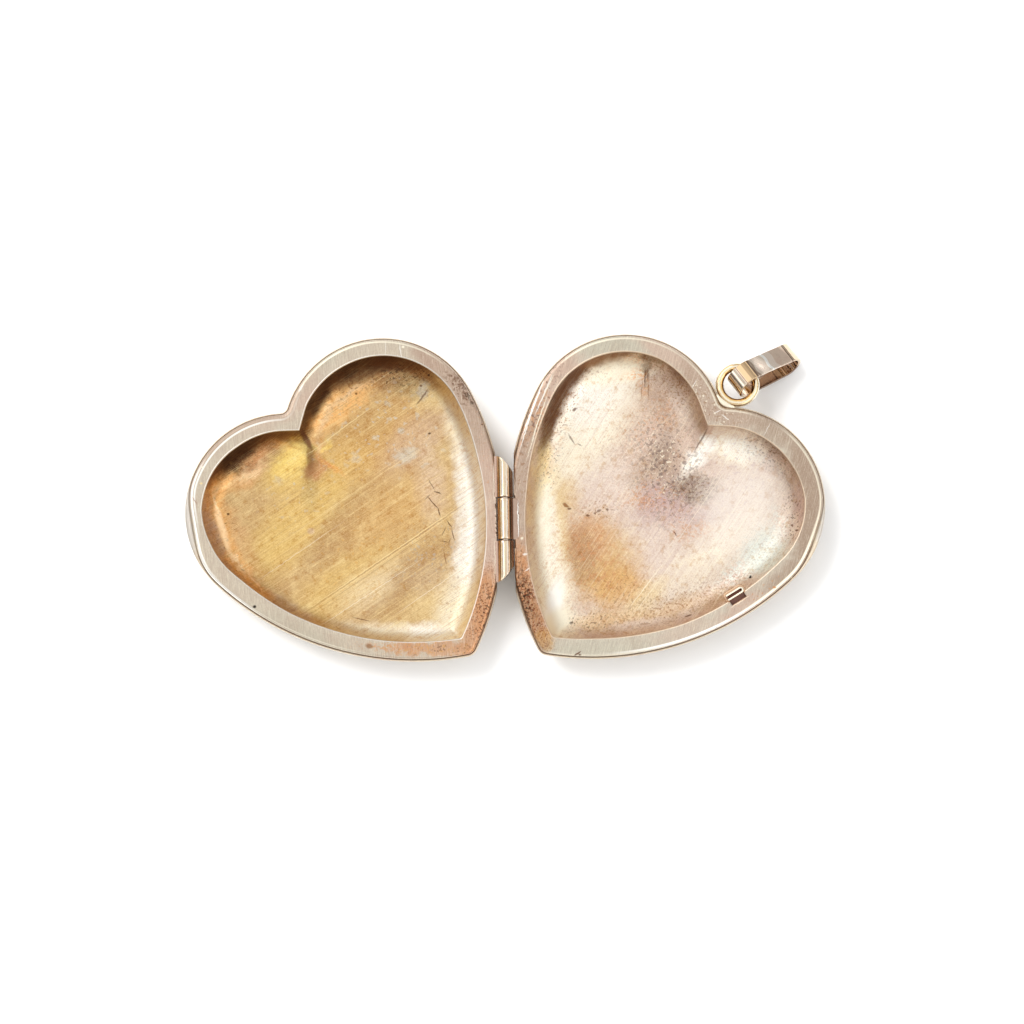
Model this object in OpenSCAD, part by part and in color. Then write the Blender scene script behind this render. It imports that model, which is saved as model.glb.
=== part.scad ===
// Heart locket lying open: two pressed heart shells on a three-knuckle hinge, a soldered ring and a loose bail.
// Millimetres, +Z up. The hinge axis lies along Y at x = 0, the shells rest on z = 0.
// Each half is laid out in its own heart frame: u across, v from tip to cleft, origin midway between the lobe centres.

/* [Heart outline] */
// Radius of the two lobes
lobe_r = 8.7; // [8.4:0.1:9]
// Half the distance between the lobe centres
lobe_a = 5.37; // [5.2:0.01:5.5]
// Radius of the long sides
side_r = 25.5; // [24.5:0.1:26.5]
// Angle below level at which a lobe hands over to its side
side_turn = 10.2; // [9:0.1:11.5]
// Radius that rounds the tip
tip_r = 1; // [0.8:0.05:1.2]
// Radius that rounds the cleft
cleft_r = 0.7; // [0.5:0.05:0.9]
// Lean of each heart away from the hinge line, in degrees
lean = 37; // [36:0.5:38]

/* [Pressed shells] */
// Height of the hinge axis and of the closing plane above the floor
close_z = 3.9; // [3.8:0.05:4.2]
// Thickness of the sheet metal
sheet = 0.45; // [0.4:0.05:0.5]
// Radius of the steep wall, in section
wall_r = 3.3; // [3.2:0.02:3.34]
// Radius of the shallow belly, in section
belly_r = 20; // [18:0.5:22]
// Clearance of each rim face from the closing plane
rim_gap = 0.04; // [0.03:0.01:0.06]

/* [Frame plates] */
// Thickness of the flat plate soldered round the mouth of each shell
frame_t = 0.5; // [0.45:0.05:0.55]
// Distance from the shell's outline to the plate's inner edge
frame_w = 1.72; // [1.65:0.01:1.78]
// Distance of the plate's outer edge inside the shell's outline
frame_step = 0.2; // [0.15:0.01:0.25]
// Radius on the plate's outer shoulder
shoulder_r = 0.25; // [0.2:0.01:0.3]

/* [Thumb notches] */
// Depth of the notch in the rim's edge
notch_depth = 0.3; // [0.25:0.01:0.35]
// Length of the notch along the edge
notch_len = 4.4; // [4:0.1:5]
// Place of the notch along Y
notch_y = -3.1; // [-3.5:0.1:-2.5]

/* [Hinge] */
// Outer radius of the knuckles
knuckle_r = 0.7; // [0.65:0.01:0.72]
// Radius of the hinge pin
pin_r = 0.36; // [0.34:0.01:0.38]
// Radial running clearance round the pin
pin_gap = 0.03; // [0.02:0.01:0.04]
// Length of the three knuckles together
hinge_len = 11.1; // [10.8:0.1:11.4]
// Gap between neighbouring knuckles
knuckle_gap = 0.08; // [0.06:0.01:0.1]
// Middle of the hinge along Y
hinge_y = -1.9; // [-2.1:0.05:-1.7]
// Distance of the flat hinge seats from the axis
seat_x = 0.78; // [0.76:0.01:0.8]

/* [Catch] */
// Angle round the side arc at which the catch stands
catch_turn = -21.9; // [-24:0.1:-20]
// Length of the catch's folded leaf
catch_len = 1.6; // [1.4:0.1:1.8]
// Thickness of the leaf
leaf_t = 0.15; // [0.13:0.01:0.17]
// Radius of the leaf's fold, outside
fold_r = 0.25; // [0.22:0.01:0.28]
// Height of the leaf above the rim
catch_rise = 0.55; // [0.4:0.05:0.6]
// Clearance between the leaf and the other half's rim
catch_gap = 0.08; // [0.07:0.01:0.1]

/* [Ring] */
// Radius of the ring's centre line
ring_r = 1.58; // [1.56:0.01:1.62]
// Radius of the ring's wire
wire_r = 0.35; // [0.34:0.01:0.36]
// Distance of the ring's centre from the lobe centres' line
ring_v = 9.2; // [9.1:0.05:9.25]
// Depth of the ring's plane below the closing plane
ring_drop = 0.65; // [0.6:0.05:0.7]

/* [Bail] */
// Distance of the bail's inner bend behind the ring's wire
bail_back = 0.65; // [0.6:0.05:0.7]
// Distance of the bail's outer bend beyond the ring's wire
bail_ahead = 3.4; // [3.3:0.05:3.4]
// Outer radius of the inner bend
bend_in_r = 1.45; // [1.45:0.05:1.5]
// Outer radius of the outer bend
bend_out_r = 1.25; // [1.2:0.05:1.25]
// Thickness of the bail's strip
strip_t = 0.25; // [0.22:0.01:0.28]
// Width of the bail's strip
strip_w = 1.84; // [1.7:0.02:1.84]
// Direction of the bail in plan, from +X towards +Y
bail_turn = 27; // [25:1:28]
// Angle by which the bail slopes down to the floor
bail_pitch = 27.5; // [26:0.1:27.5]
// Angle by which the bail lies rolled on the ring
bail_roll = 19; // [17:1:19]
// Distance by which the bail hangs off the wire's middle, along the wire
bail_aside = 0.12; // [0.08:0.01:0.14]
// Distance by which the bail hangs below the wire's middle
bail_drop = 0.2; // [0.16:0.01:0.22]

/* [Hidden] */
$fn = 96;

gold = [0.83, 0.72, 0.52];
pale_gold = [0.84, 0.78, 0.68];
warm_gold = [0.80, 0.66, 0.42];
far = 60;
joint_lap = 0.1;

// Heights of the rim's face, of the plate's underside, and of the ring
rim_z = close_z - rim_gap;
plate_z = rim_z - frame_t;
ring_z = close_z - ring_drop;

// Centres of the arcs on the +u side of a heart
lobe_c = [lobe_a, 0];
side_c = lobe_c + (lobe_r - side_r) * heading(-side_turn);
cleft_c = [0, sqrt(pow(lobe_r + cleft_r, 2) - pow(lobe_a, 2))];
cleft_turn = atan2(cleft_c[1] - lobe_c[1], cleft_c[0] - lobe_c[0]);

// Section of the shell: where the steep wall hands over to the belly, and where the belly ends
belly_turn = asin((belly_r - plate_z) / (belly_r - wall_r));
belly_d = wall_r + (belly_r - wall_r) * cos(belly_turn);
tip_min_r = 0.3;

// Steps along each arc of the outline and of the section
cleft_steps = 4;
lobe_steps = 18;
side_steps = 16;
tip_steps = 3;
wall_steps = 6;
belly_steps = 3;
shoulder_steps = 3;

// Place of the heart frames: the side arc nearly reaches the hinge axis, and the outline is centred on y = 0
hinge_reach = 0.09;
heart_x = hinge_reach + side_r + side_c[0] * cos(lean) - side_c[1] * sin(lean);
side_mid_y = -side_c[0] * sin(lean) + side_c[1] * cos(lean);
top_y = lobe_a * sin(lean) + lobe_r;
heart_y = -(top_y + side_mid_y - side_r) / 2;
outer_x = heart_x + lobe_a * cos(lean) + lobe_r;

// Hinge: the shell's wall stands this far behind the plate's edge at the seat
seat_step = 0.03;
// Hinge: thickness of the web, pitch of the knuckles, length of the pin, and slant of the barrel's ends
web_t = 0.4;
knuckle_pitch = hinge_len / 3;
pin_len = hinge_len - 2.8;
end_slant = 45;

// Notch: the cutter's radius from the notch's depth and length, and its tilt
notch_r = (pow(notch_len / 2, 2) + pow(notch_depth, 2)) / (2 * notch_depth);
notch_tilt = 40;

// Catch: distances of the pocket's and the tab's edges inside the outline
leaf_d = frame_w + catch_gap;
pocket_d = frame_w - 0.45;
tab_d = leaf_d + 2 * fold_r + 0.25;
tab_t = 0.3;

// Solder that fills the space between the ring and the cleft
solder_r = 0.62;
solder_v = cleft_c[1] - cleft_r + 0.28;

// The bail turns about the ring's wire, at the point of the ring that lies farthest along the bail
ring_c = [heart_x + ring_v * sin(lean), heart_y + ring_v * cos(lean), ring_z];
bail_pivot = ring_c + ring_r * [cos(bail_turn), sin(bail_turn), 0];
bail_place = bail_pivot + [-bail_aside * sin(bail_turn), bail_aside * cos(bail_turn), -bail_drop];

function heading(turn) = [cos(turn), sin(turn)];

// Radius that rounds the tip at a distance d inside the outline
function tip_round(d) = max(tip_r - d, tip_min_r);

// Points along an arc, without its last point
function arc_points(centre, r, from, to, steps) =
    [for (i = [0:steps - 1]) centre + r * heading(from + (to - from) * i / steps)];

// Right side of a heart's outline, moved in by d: cleft, lobe, long side, tip
function side_points(d) =
    let (r_tip = tip_round(d),
         c_tip = [0, side_c[1] - sqrt(pow(side_r - d - r_tip, 2) - pow(side_c[0], 2))],
         turn = atan2(c_tip[1] - side_c[1], -side_c[0]))
    concat(arc_points(cleft_c, cleft_r + d, -90, cleft_turn - 180, cleft_steps),
           arc_points(lobe_c, lobe_r - d, cleft_turn, -side_turn, lobe_steps),
           arc_points(side_c, side_r - d, -side_turn, turn, side_steps),
           arc_points(c_tip, r_tip, turn, -90, tip_steps),
           [c_tip + r_tip * heading(-90)]);

// Whole outline, moved in by d: the right side, then its mirror image back up to the cleft
function heart_points(d) =
    let (right = side_points(d), last = len(right) - 1)
    concat(right, [for (i = [last - 1:-1:1]) [-right[i][0], right[i][1]]]);

// From the heart frame to the frame of the whole part, kept clear of the plane x = limit
function seated(p, limit) =
    let (x = heart_x + p[0] * cos(lean) + p[1] * sin(lean),
         y = heart_y - p[0] * sin(lean) + p[1] * cos(lean))
    [max(x, limit), y];

// Section of a shell and its plate, from the middle of the outside round to the middle of the inside.
// Each row is [distance inside the outline, height, least x].
shell_x = seat_x + seat_step;
section = concat(
    [for (i = [belly_steps:-1:0]) belly_row(belly_turn + (90 - belly_turn) * i / belly_steps, 0, shell_x)],
    [for (i = [wall_steps - 1:-1:0]) wall_row(belly_turn * i / wall_steps, 0, shell_x)],
    [[frame_step, plate_z, seat_x]],
    [for (i = [0:shoulder_steps]) shoulder_row(90 * i / shoulder_steps)],
    [[frame_w, rim_z, seat_x], [frame_w, plate_z, seat_x]],
    [for (i = [0:wall_steps - 1]) wall_row(belly_turn * i / wall_steps, sheet, shell_x + sheet)],
    [for (i = [0:belly_steps]) belly_row(belly_turn + (90 - belly_turn) * i / belly_steps, sheet, shell_x + sheet)]);

function wall_row(turn, inset, limit) =
    [wall_r - (wall_r - inset) * cos(turn), plate_z - (wall_r - inset) * sin(turn), limit];
function belly_row(turn, inset, limit) =
    [belly_d - (belly_r - inset) * cos(turn), belly_r - (belly_r - inset) * sin(turn), limit];
function shoulder_row(turn) =
    [frame_step + shoulder_r * (1 - cos(turn)), rim_z - shoulder_r * (1 - sin(turn)), seat_x];

// Pressed heart shell with its frame plate and its flat hinge seat, on the +X side
module heart_shell() {
    rows = len(section);
    count = len(heart_points(0));
    points = [for (row = section, p = heart_points(row[0])) concat(seated(p, row[2]), [row[1]])];
    function at(row, i) = row * count + i % count;
    polyhedron(points, concat(
        [[for (i = [count - 1:-1:0]) at(0, i)]],
        [for (row = [0:rows - 2], i = [0:count - 1]) each [
            [at(row, i), at(row + 1, i + 1), at(row + 1, i)],
            [at(row, i), at(row, i + 1), at(row + 1, i + 1)]]],
        [[for (i = [0:count - 1]) at(rows - 1, i)]]));
}

// From the heart frame to the frame of the whole part
module placed() {
    translate([heart_x, heart_y, 0]) rotate([0, 0, -lean]) children();
}

// Cutter for the thumb notch in the rim's outer shoulder
module notch_cutter() {
    translate([outer_x - frame_step - notch_depth + notch_r, notch_y, rim_z]) rotate([0, -notch_tilt, 0])
        cylinder(r = notch_r, h = 2, center = true);
}

// One knuckle with the web that joins it to the plate; k counts from the hinge's low end
module knuckle(k) {
    low = hinge_y - hinge_len / 2 + k * knuckle_pitch + knuckle_gap / 2;
    len = knuckle_pitch - knuckle_gap;
    intersection() {
        union() {
            translate([0, low + len, close_z]) rotate([90, 0, 0]) cylinder(r = knuckle_r, h = len);
            translate([0, low, rim_z - web_t]) cube([seat_x + joint_lap, len, web_t]);
        }
        // slanted ends of the barrel, long on the plate's side
        translate([seat_x, hinge_y, 0]) barrel_ends();
    }
}

// Block with both ends slanted, from the seat towards the free side of the barrel
module barrel_ends() {
    reach = hinge_len / 2;
    free = 2 * seat_x;
    cut = free * tan(90 - end_slant);
    linear_extrude(far) polygon([[far, reach], [0, reach], [-free, reach - cut],
                                 [-free, cut - reach], [0, -reach], [far, -reach]]);
}

module pin_hole() {
    hole_len = pin_len + 2 * knuckle_gap;
    translate([0, hinge_y + hole_len / 2, close_z]) rotate([90, 0, 0]) cylinder(r = pin_r + pin_gap, h = hole_len);
}

// Shell, plate, seat and this half's knuckles, on the +X side
module half_body(knuckles) {
    difference() {
        union() {
            difference() {
                heart_shell();
                notch_cutter();
            }
            for (k = knuckles) knuckle(k);
        }
        pin_hole();
    }
}

// Frame of the catch: x points out across the rim, y along it
module at_catch() {
    placed() translate(side_c) rotate([0, 0, catch_turn]) translate([side_r, 0, 0]) children();
}

// Pocket behind the leaf, so that it can spring
module catch_pocket() {
    at_catch() translate([-leaf_d - joint_lap, -catch_len / 2, plate_z + tab_t])
        cube([leaf_d + joint_lap - pocket_d, catch_len, far]);
}

// Tab under the leaf, and the leaf folded into a narrow U that stands on it
module catch_spring() {
    leg = catch_len - fold_r;
    at_catch() {
        translate([-tab_d, -catch_len / 2 - 0.2, plate_z]) cube([tab_d - frame_w + joint_lap, catch_len + 0.4, tab_t]);
        translate([-leaf_d - fold_r, 0, plate_z + tab_t / 2]) linear_extrude(frame_t - tab_t / 2 + catch_rise) {
            for (side = [-1, 1]) translate([side * (fold_r - leaf_t / 2) - leaf_t / 2, -catch_len / 2])
                square([leaf_t, leg]);
            translate([0, catch_len / 2 - fold_r]) intersection() {
                difference() {
                    circle(fold_r);
                    circle(fold_r - leaf_t);
                }
                translate([-fold_r, 0]) square([2 * fold_r, fold_r]);
            }
        }
    }
}

// Wire ring in the cleft, with the solder that holds it
module ring() {
    placed() {
        translate([0, ring_v, ring_z]) rotate_extrude() translate([ring_r, 0]) circle(wire_r);
        translate([0, solder_v, ring_z - wire_r * 0.8]) cylinder(r = solder_r, h = 2 * wire_r * 0.8);
    }
}

// Outline of a strip bent round two circles: its outside, or a line inset from that
module strip_outline(inset) {
    hull() {
        translate([-bail_back, 0]) circle(bend_in_r - inset, $fn = 64);
        translate([bail_ahead, 0]) circle(bend_out_r - inset, $fn = 64);
    }
}

// Loop of flat strip: x along the loop, y across the strip, z through the loop
module bail_loop() {
    rotate([90, 0, 0]) linear_extrude(strip_w, center = true) difference() {
        strip_outline(0);
        strip_outline(strip_t);
    }
}

module front_half() {
    color(gold) mirror([1, 0, 0]) half_body([0, 2]);
}

module back_half() {
    color(pale_gold) {
        difference() {
            half_body([1]);
            catch_pocket();
        }
        catch_spring();
        ring();
    }
}

module hinge_pin() {
    color(warm_gold) translate([0, hinge_y + pin_len / 2, close_z]) rotate([90, 0, 0]) cylinder(r = pin_r, h = pin_len);
}

module bail() {
    color(warm_gold) translate(bail_place) rotate([-bail_roll, bail_pitch, bail_turn]) bail_loop();
}

front_half();
back_half();
hinge_pin();
bail();
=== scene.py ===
"""Heart locket lying open on a white table: worn gold halves on a pin hinge, a soldered ring and a bail.

Sizes are in millimetres and turned into metres where a mesh is made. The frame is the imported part's own:
the hinge axis lies along Y at x = 0, the shells rest on z = 0, and the half with the ring is on the +X side.
"""
import math

import bmesh
import bpy
import numpy as np
from mathutils import Matrix, Vector


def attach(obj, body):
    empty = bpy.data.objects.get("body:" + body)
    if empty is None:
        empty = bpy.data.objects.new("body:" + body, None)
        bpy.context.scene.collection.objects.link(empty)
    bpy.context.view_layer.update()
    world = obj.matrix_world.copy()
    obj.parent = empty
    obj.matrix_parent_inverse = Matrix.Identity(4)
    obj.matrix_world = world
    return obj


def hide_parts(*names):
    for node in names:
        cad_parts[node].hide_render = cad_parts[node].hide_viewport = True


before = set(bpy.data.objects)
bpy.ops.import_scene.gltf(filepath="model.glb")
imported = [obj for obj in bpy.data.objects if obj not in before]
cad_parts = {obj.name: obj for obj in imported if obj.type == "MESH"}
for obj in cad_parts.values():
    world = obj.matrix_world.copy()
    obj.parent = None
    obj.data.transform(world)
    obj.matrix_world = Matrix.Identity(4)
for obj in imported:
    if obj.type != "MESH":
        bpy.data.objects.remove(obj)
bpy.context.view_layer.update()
MM = 0.001

# Heart outline, as in the solids
LOBE_R, LOBE_A, SIDE_R, SIDE_TURN = 8.7, 5.37, 25.5, 10.2
TIP_R, TIP_MIN_R, CLEFT_R, LEAN, HINGE_REACH = 1.0, 0.3, 0.7, 37.0, 0.09

# Heights and section of the halves, as in the solids
CLOSE_Z, RIM_Z, PLATE_Z, SHEET = 3.9, 3.86, 3.36, 0.45
WALL_R, BELLY_R, FRAME_STEP = 3.3, 20.0, 0.19
SEAT_X, SHELL_X = 0.78, 0.81

# Hinge, ring and bail, as in the solids
KNUCKLE_R, HINGE_LEN, KNUCKLE_GAP, HINGE_Y = 0.7, 11.1, 0.08, -1.9
RING_R, WIRE_R, RING_V, RING_Z = 1.58, 0.35, 9.2, 3.25
BAIL_BACK, BAIL_AHEAD, BEND_IN_R, BEND_OUT_R, STRIP_T, STRIP_W = 0.65, 3.4, 1.45, 1.25, 0.25, 1.84
BAIL_TURN, BAIL_PITCH, BAIL_ROLL, BAIL_ASIDE, BAIL_DROP = 27.0, 27.5, 19.0, 0.12, 0.2
CATCH_TURN, CATCH_LEN, LEAF_D, LEAF_T, FOLD_R, CATCH_RISE = -21.9, 1.7, 1.8, 0.18, 0.29, 0.55
CATCH_LINE = CATCH_TURN + 90 - LEAN

# Web from each knuckle to its rim: heights and reach. Reach and corner of the leaf on the rim, by side
WEB_LOW, WEB_HIGH, WEB_X, WEB_ROOT_X = RIM_Z - 0.4, RIM_Z - 0.02, 0.9, 0.5
HINGE_LEAF = {1: (1.2, 0.42), -1: (0.9, 0.1)}

# Camera, from the photo: where the middle of the hinge shows, and the scale there
PHOTO_SIZE, PHOTO_SCALE, HINGE_PX = 1024, 11.5, (505.3, 519.0)
CAMERA_FAR, CAMERA_ELEVATION, PHOTO_ROLL = 700.0, 85.0, 0.87


def heading(degrees):
    """Unit vector in the plane at an angle, or one for each angle of an array."""
    turn = np.radians(degrees)
    return np.stack([np.cos(turn), np.sin(turn)], axis=-1)


def arc(x, y, radius, start, end):
    """Points about a centre, every 15 degrees from one angle to another."""
    return [tuple(p) for p in (x, y) + radius * heading(np.linspace(start, end, abs(end - start) // 15 + 1))]


def smooth(low, high, value):
    """0 below low, 1 above high, and a smooth step between."""
    t = np.clip((value - low) / (high - low), 0, 1)
    return t * t * (3 - 2 * t)


# Centres of the outline's arcs in the heart frame: u across, v from tip to cleft
LOBE_C = np.array([LOBE_A, 0.0])
SIDE_C = LOBE_C + (LOBE_R - SIDE_R) * heading(-SIDE_TURN)
CLEFT_C = np.array([0.0, math.sqrt((LOBE_R + CLEFT_R) ** 2 - LOBE_A ** 2)])
CLEFT_TURN = math.degrees(math.atan2(CLEFT_C[1], -LOBE_A))
LEAN_C, LEAN_S = heading(LEAN)
HEART_X = HINGE_REACH + SIDE_R + SIDE_C[0] * LEAN_C - SIDE_C[1] * LEAN_S
SIDE_MID_Y = -SIDE_C[0] * LEAN_S + SIDE_C[1] * LEAN_C
HEART_Y = -(LOBE_A * LEAN_S + LOBE_R + SIDE_MID_Y - SIDE_R) / 2

# Columns of the halves' meshes: how many lie along each arc of one side
ARC_COLUMNS = {"cleft": 16, "lobe": 92, "side": 112, "tip": 12}


def to_part(points):
    """From the heart frame to the part's frame, on the +X side."""
    points = np.asarray(points, float)
    u, v = points[..., 0], points[..., 1]
    return np.stack([HEART_X + u * LEAN_C + v * LEAN_S, HEART_Y - u * LEAN_S + v * LEAN_C], axis=-1)


class Outline:
    """Columns round a heart: arc, place along it, and side, for any distance inside the outline."""

    def __init__(self):
        arcs = []
        places = []
        for number, count in enumerate(ARC_COLUMNS.values()):
            arcs += [number] * count
            places += [i / count for i in range(count)]
        arcs.append(3)
        places.append(1.0)
        mirrored = list(range(len(arcs) - 2, 0, -1))
        self.arc = np.array(arcs + [arcs[i] for i in mirrored])
        self.place = np.array(places + [places[i] for i in mirrored])
        self.side = np.array([1.0] * len(arcs) + [-1.0] * len(mirrored))
        self.count = len(self.arc)
        edge = self.heart(0.0)
        steps = np.linalg.norm(np.roll(edge, -1, axis=0) - edge, axis=1)
        self.round = np.concatenate([[0], np.cumsum(steps)[:-1]]) / steps.sum()

    def heart(self, inset):
        """Points of the columns in the heart frame, inset by one distance or one for each column."""
        d = np.broadcast_to(np.asarray(inset, float), (self.count,))
        tip_r = np.maximum(TIP_R - d, TIP_MIN_R)
        tip_v = SIDE_C[1] - np.sqrt((SIDE_R - d - tip_r) ** 2 - SIDE_C[0] ** 2)
        tip_turn = np.degrees(np.arctan2(tip_v - SIDE_C[1], -SIDE_C[0]))
        flat = np.zeros_like(d)
        centre_u = np.choose(self.arc, [flat, flat + LOBE_A, flat + SIDE_C[0], flat])
        centre_v = np.choose(self.arc, [flat + CLEFT_C[1], flat, flat + SIDE_C[1], tip_v])
        radius = np.choose(self.arc, [CLEFT_R + d, LOBE_R - d, SIDE_R - d, tip_r])
        start = np.choose(self.arc, [flat - 90, flat + CLEFT_TURN, flat - SIDE_TURN, tip_turn])
        end = np.choose(self.arc, [flat + CLEFT_TURN - 180, flat - SIDE_TURN, tip_turn, flat - 90])
        points = radius[:, None] * heading(start + (end - start) * self.place)
        points += np.stack([centre_u, centre_v], axis=-1)
        points[:, 0] *= self.side
        return points

    def part(self, inset, least_x=-math.inf):
        """The same points in the frame of the part, on the +X side, kept clear of the plane x = least_x."""
        points = to_part(self.heart(inset))
        points[:, 0] = np.maximum(points[:, 0], least_x)
        return points


OUTLINE = Outline()

# Square table of seeded values behind the noise, and where on it the part lies
NOISE_CELLS, NOISE_AT = 64, (31.7, 17.3)


def value_noise(x, y, scale, seed):
    """Smooth noise from -1 to 1 on the plane: seeded values on a square grid, smoothly joined."""
    table = np.random.default_rng(seed).uniform(-1, 1, (NOISE_CELLS, NOISE_CELLS))
    px, py = x / scale + NOISE_AT[0], y / scale + NOISE_AT[1]
    ix, iy = np.floor(px).astype(int), np.floor(py).astype(int)
    fx, fy = smooth(0, 1, px - ix), smooth(0, 1, py - iy)
    at = lambda i, j: table[(ix + i) % NOISE_CELLS, (iy + j) % NOISE_CELLS]
    low = at(0, 0) * (1 - fx) + at(1, 0) * fx
    high = at(0, 1) * (1 - fx) + at(1, 1) * fx
    return low * (1 - fy) + high * fy


def show(name, data):
    """New object with some data, linked into the scene."""
    obj = bpy.data.objects.new(name, data)
    bpy.context.scene.collection.objects.link(obj)
    return obj


def new_mesh(name, points_mm, faces, attributes=None):
    """Mesh object from points in millimetres, with smooth faces and float attributes on its points."""
    mesh = bpy.data.meshes.new(name)
    mesh.from_pydata([tuple(p) for p in np.asarray(points_mm) * MM], [], faces)
    for key, values in (attributes or {}).items():
        mesh.attributes.new(key, "FLOAT", "POINT").data.foreach_set("value", np.asarray(values, np.float32))
    mesh.polygons.foreach_set("use_smooth", [True] * len(mesh.polygons))
    mesh.update()
    return show(name, mesh)


def grid_faces(rows, columns, closed_rows=False, flip=False):
    """Quads between the rows of a grid whose columns close on themselves."""
    faces = []
    for r in range(rows if closed_rows else rows - 1):
        below, above = r * columns, (r + 1) % rows * columns
        for c in range(columns):
            n = (c + 1) % columns
            quad = (below + c, below + n, above + n, above + c)
            faces.append(quad[::-1] if flip else quad)
    return faces


# Width of the rim round each heart: share of the way round from the cleft, the outer lobe first,
# then millimetres
RIM_WIDTHS = {
    "front": [(0.0, 1.6), (0.018, 1.62), (0.058, 1.66), (0.10, 1.54), (0.15, 1.48), (0.19, 1.7),
              (0.25, 1.76), (0.31, 1.66), (0.40, 1.68), (0.46, 1.72), (0.53, 1.63), (0.625, 1.62),
              (0.70, 1.62), (0.75, 1.5), (0.81, 1.56), (0.875, 1.62), (0.92, 1.67), (0.96, 1.62),
              (0.985, 1.55)],
    "back": [(0.0, 1.8), (0.02, 1.85), (0.06, 1.95), (0.10, 1.95), (0.148, 1.82), (0.186, 1.88),
             (0.232, 1.97), (0.27, 1.92), (0.317, 1.79), (0.357, 1.7), (0.40, 1.76), (0.452, 1.78),
             (0.511, 1.63), (0.588, 1.68), (0.666, 1.7), (0.70, 1.62), (0.74, 1.6), (0.80, 1.55),
             (0.88, 1.6), (0.917, 1.6), (0.966, 1.76), (0.99, 1.78)],
}
CLEFT_WIDTH = {"front": 2.15, "back": 2.3}

# Dishes: how far the wall reaches in, how far the floor's rows do, and their middle in the heart frame
WALL_OUT, FLOOR_D, MIDDLE_V = {"front": 1.9, "back": 2.7}, 8.2, -4.2
DISH_UNDER, DISH_FOOT, FOOT_RISE = 0.62, SHEET + 0.16, 0.16

# Thumb notches: middle along y, length, depth, then how steeply the lip drops into one, and its place in x
NOTCH = {"front": (-2.4, 8.4, 0.42), "back": (-4.0, 7.6, 0.3)}
NOTCH_SLOPE, NOTCH_X = 0.28, 27.7
SIDES = {"front": -1, "back": 1}

# Rolled lip of the shell: distance in from the outline, and height from the plate's foot
LIP = [(0.0, -0.16), (0.012, -0.08), (0.05, -0.02), (0.10, 0.0), (0.14, -0.03), (0.165, -0.1)]
# Seam and side of the plate: distance in from its side, height from its foot, and how far a notch lifts it
SEAM = [(-0.01, -0.1, 0.2), (0.0, 0.02, 0.3), (0.0, 0.1, 0.3)]
# Worn outer shoulder of the plate: distance in from its side, and how far below the rim
SHOULDER = [(0.0, 0.3), (0.01, 0.21), (0.035, 0.15), (0.07, 0.102), (0.12, 0.064), (0.18, 0.034),
            (0.24, 0.014), (0.29, 0.004), (0.34, 0.0)]
# Bevelled inner edge of the rim, the plate's edge, and the gap below it: distance in, and height from the rim
INNER_EDGE = [(-0.12, 0.0), (-0.03, -0.07), (-0.005, -0.1), (0.0, -0.14), (0.0, -0.4), (-0.02, -0.48),
              (-0.12, -0.5), (-0.14, -0.56)]
# Places of rows across the flat of the rim, which ends short of the inner edge
RIM_SHARES, FLAT_SHORT = (0.04, 0.3, 0.6, 0.9, 0.985), 0.13

# Swells of the dishes' floors, as (height, size, seed) of noise, then length and height of the cleft's crease
RELIEF = {"front": ([(0.07, 5.5, 3), (0.03, 2.1, 5), (0.008, 0.8, 8)], 5.5, 0.45),
          "back": ([(0.06, 6.2, 11), (0.03, 2.4, 12), (0.008, 0.8, 14)], 4.5, 0.4)}
CREASE_TOP, CREASE_W, CREASE_SPREAD, CREASE_FADE = 5.6, 0.55, 0.16, 0.45


def rim_width(half):
    """Distance of the rim's inner edge inside the outline, for each column."""
    share, width = np.array(RIM_WIDTHS[half]).T
    widths = np.interp(OUTLINE.round, np.append(share, 1.0), np.append(width, width[0]))
    # near the cleft the inner edge runs straight from each lobe to a corner on the heart's middle line
    fan = math.radians(CLEFT_TURN - 90)
    corner = np.array([0.0, -(CLEFT_R + CLEFT_WIDTH[half])])
    for side in (1, -1):
        near = (OUTLINE.arc == 0) & (OUTLINE.side == side)
        joint = widths[side * ARC_COLUMNS["cleft"]]
        along = (CLEFT_R + joint) * np.array([math.sin(fan), -math.cos(fan)]) - corner
        turn = fan * OUTLINE.place[near]
        ray = np.stack([np.sin(turn), -np.cos(turn)])
        reach = (along[0] * corner[1] - along[1] * corner[0]) / (along[0] * ray[1] - along[1] * ray[0])
        widths[near] = reach - CLEFT_R
    return widths


def notch_depth(half):
    """How far the thumb notch moves the plate's outer shoulder inward, for each column."""
    middle, length, depth = NOTCH[half]
    edge = OUTLINE.part(0.0)
    along = np.abs(edge[:, 1] - middle) / (length / 2)
    return np.where(edge[:, 0] > HEART_X, depth * (1 - smooth(0.05, 1.0, along)), 0.0)


def relief(half, x, y):
    """Uneven floor of a dish: soft swells, small dents, and a ridge that runs from the cleft and fades."""
    swells, length, height = RELIEF[half]
    z = sum(high * value_noise(x, y, size, seed) for high, size, seed in swells)
    u = (x - HEART_X) * LEAN_C - (y - HEART_Y) * LEAN_S
    v = (x - HEART_X) * LEAN_S + (y - HEART_Y) * LEAN_C
    down = CREASE_TOP - v
    below = np.maximum(down, 0)
    width = CREASE_W + CREASE_SPREAD * below
    return z + height * np.exp(-(u / width) ** 2) * np.exp(-below / (length * CREASE_FADE))


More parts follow.
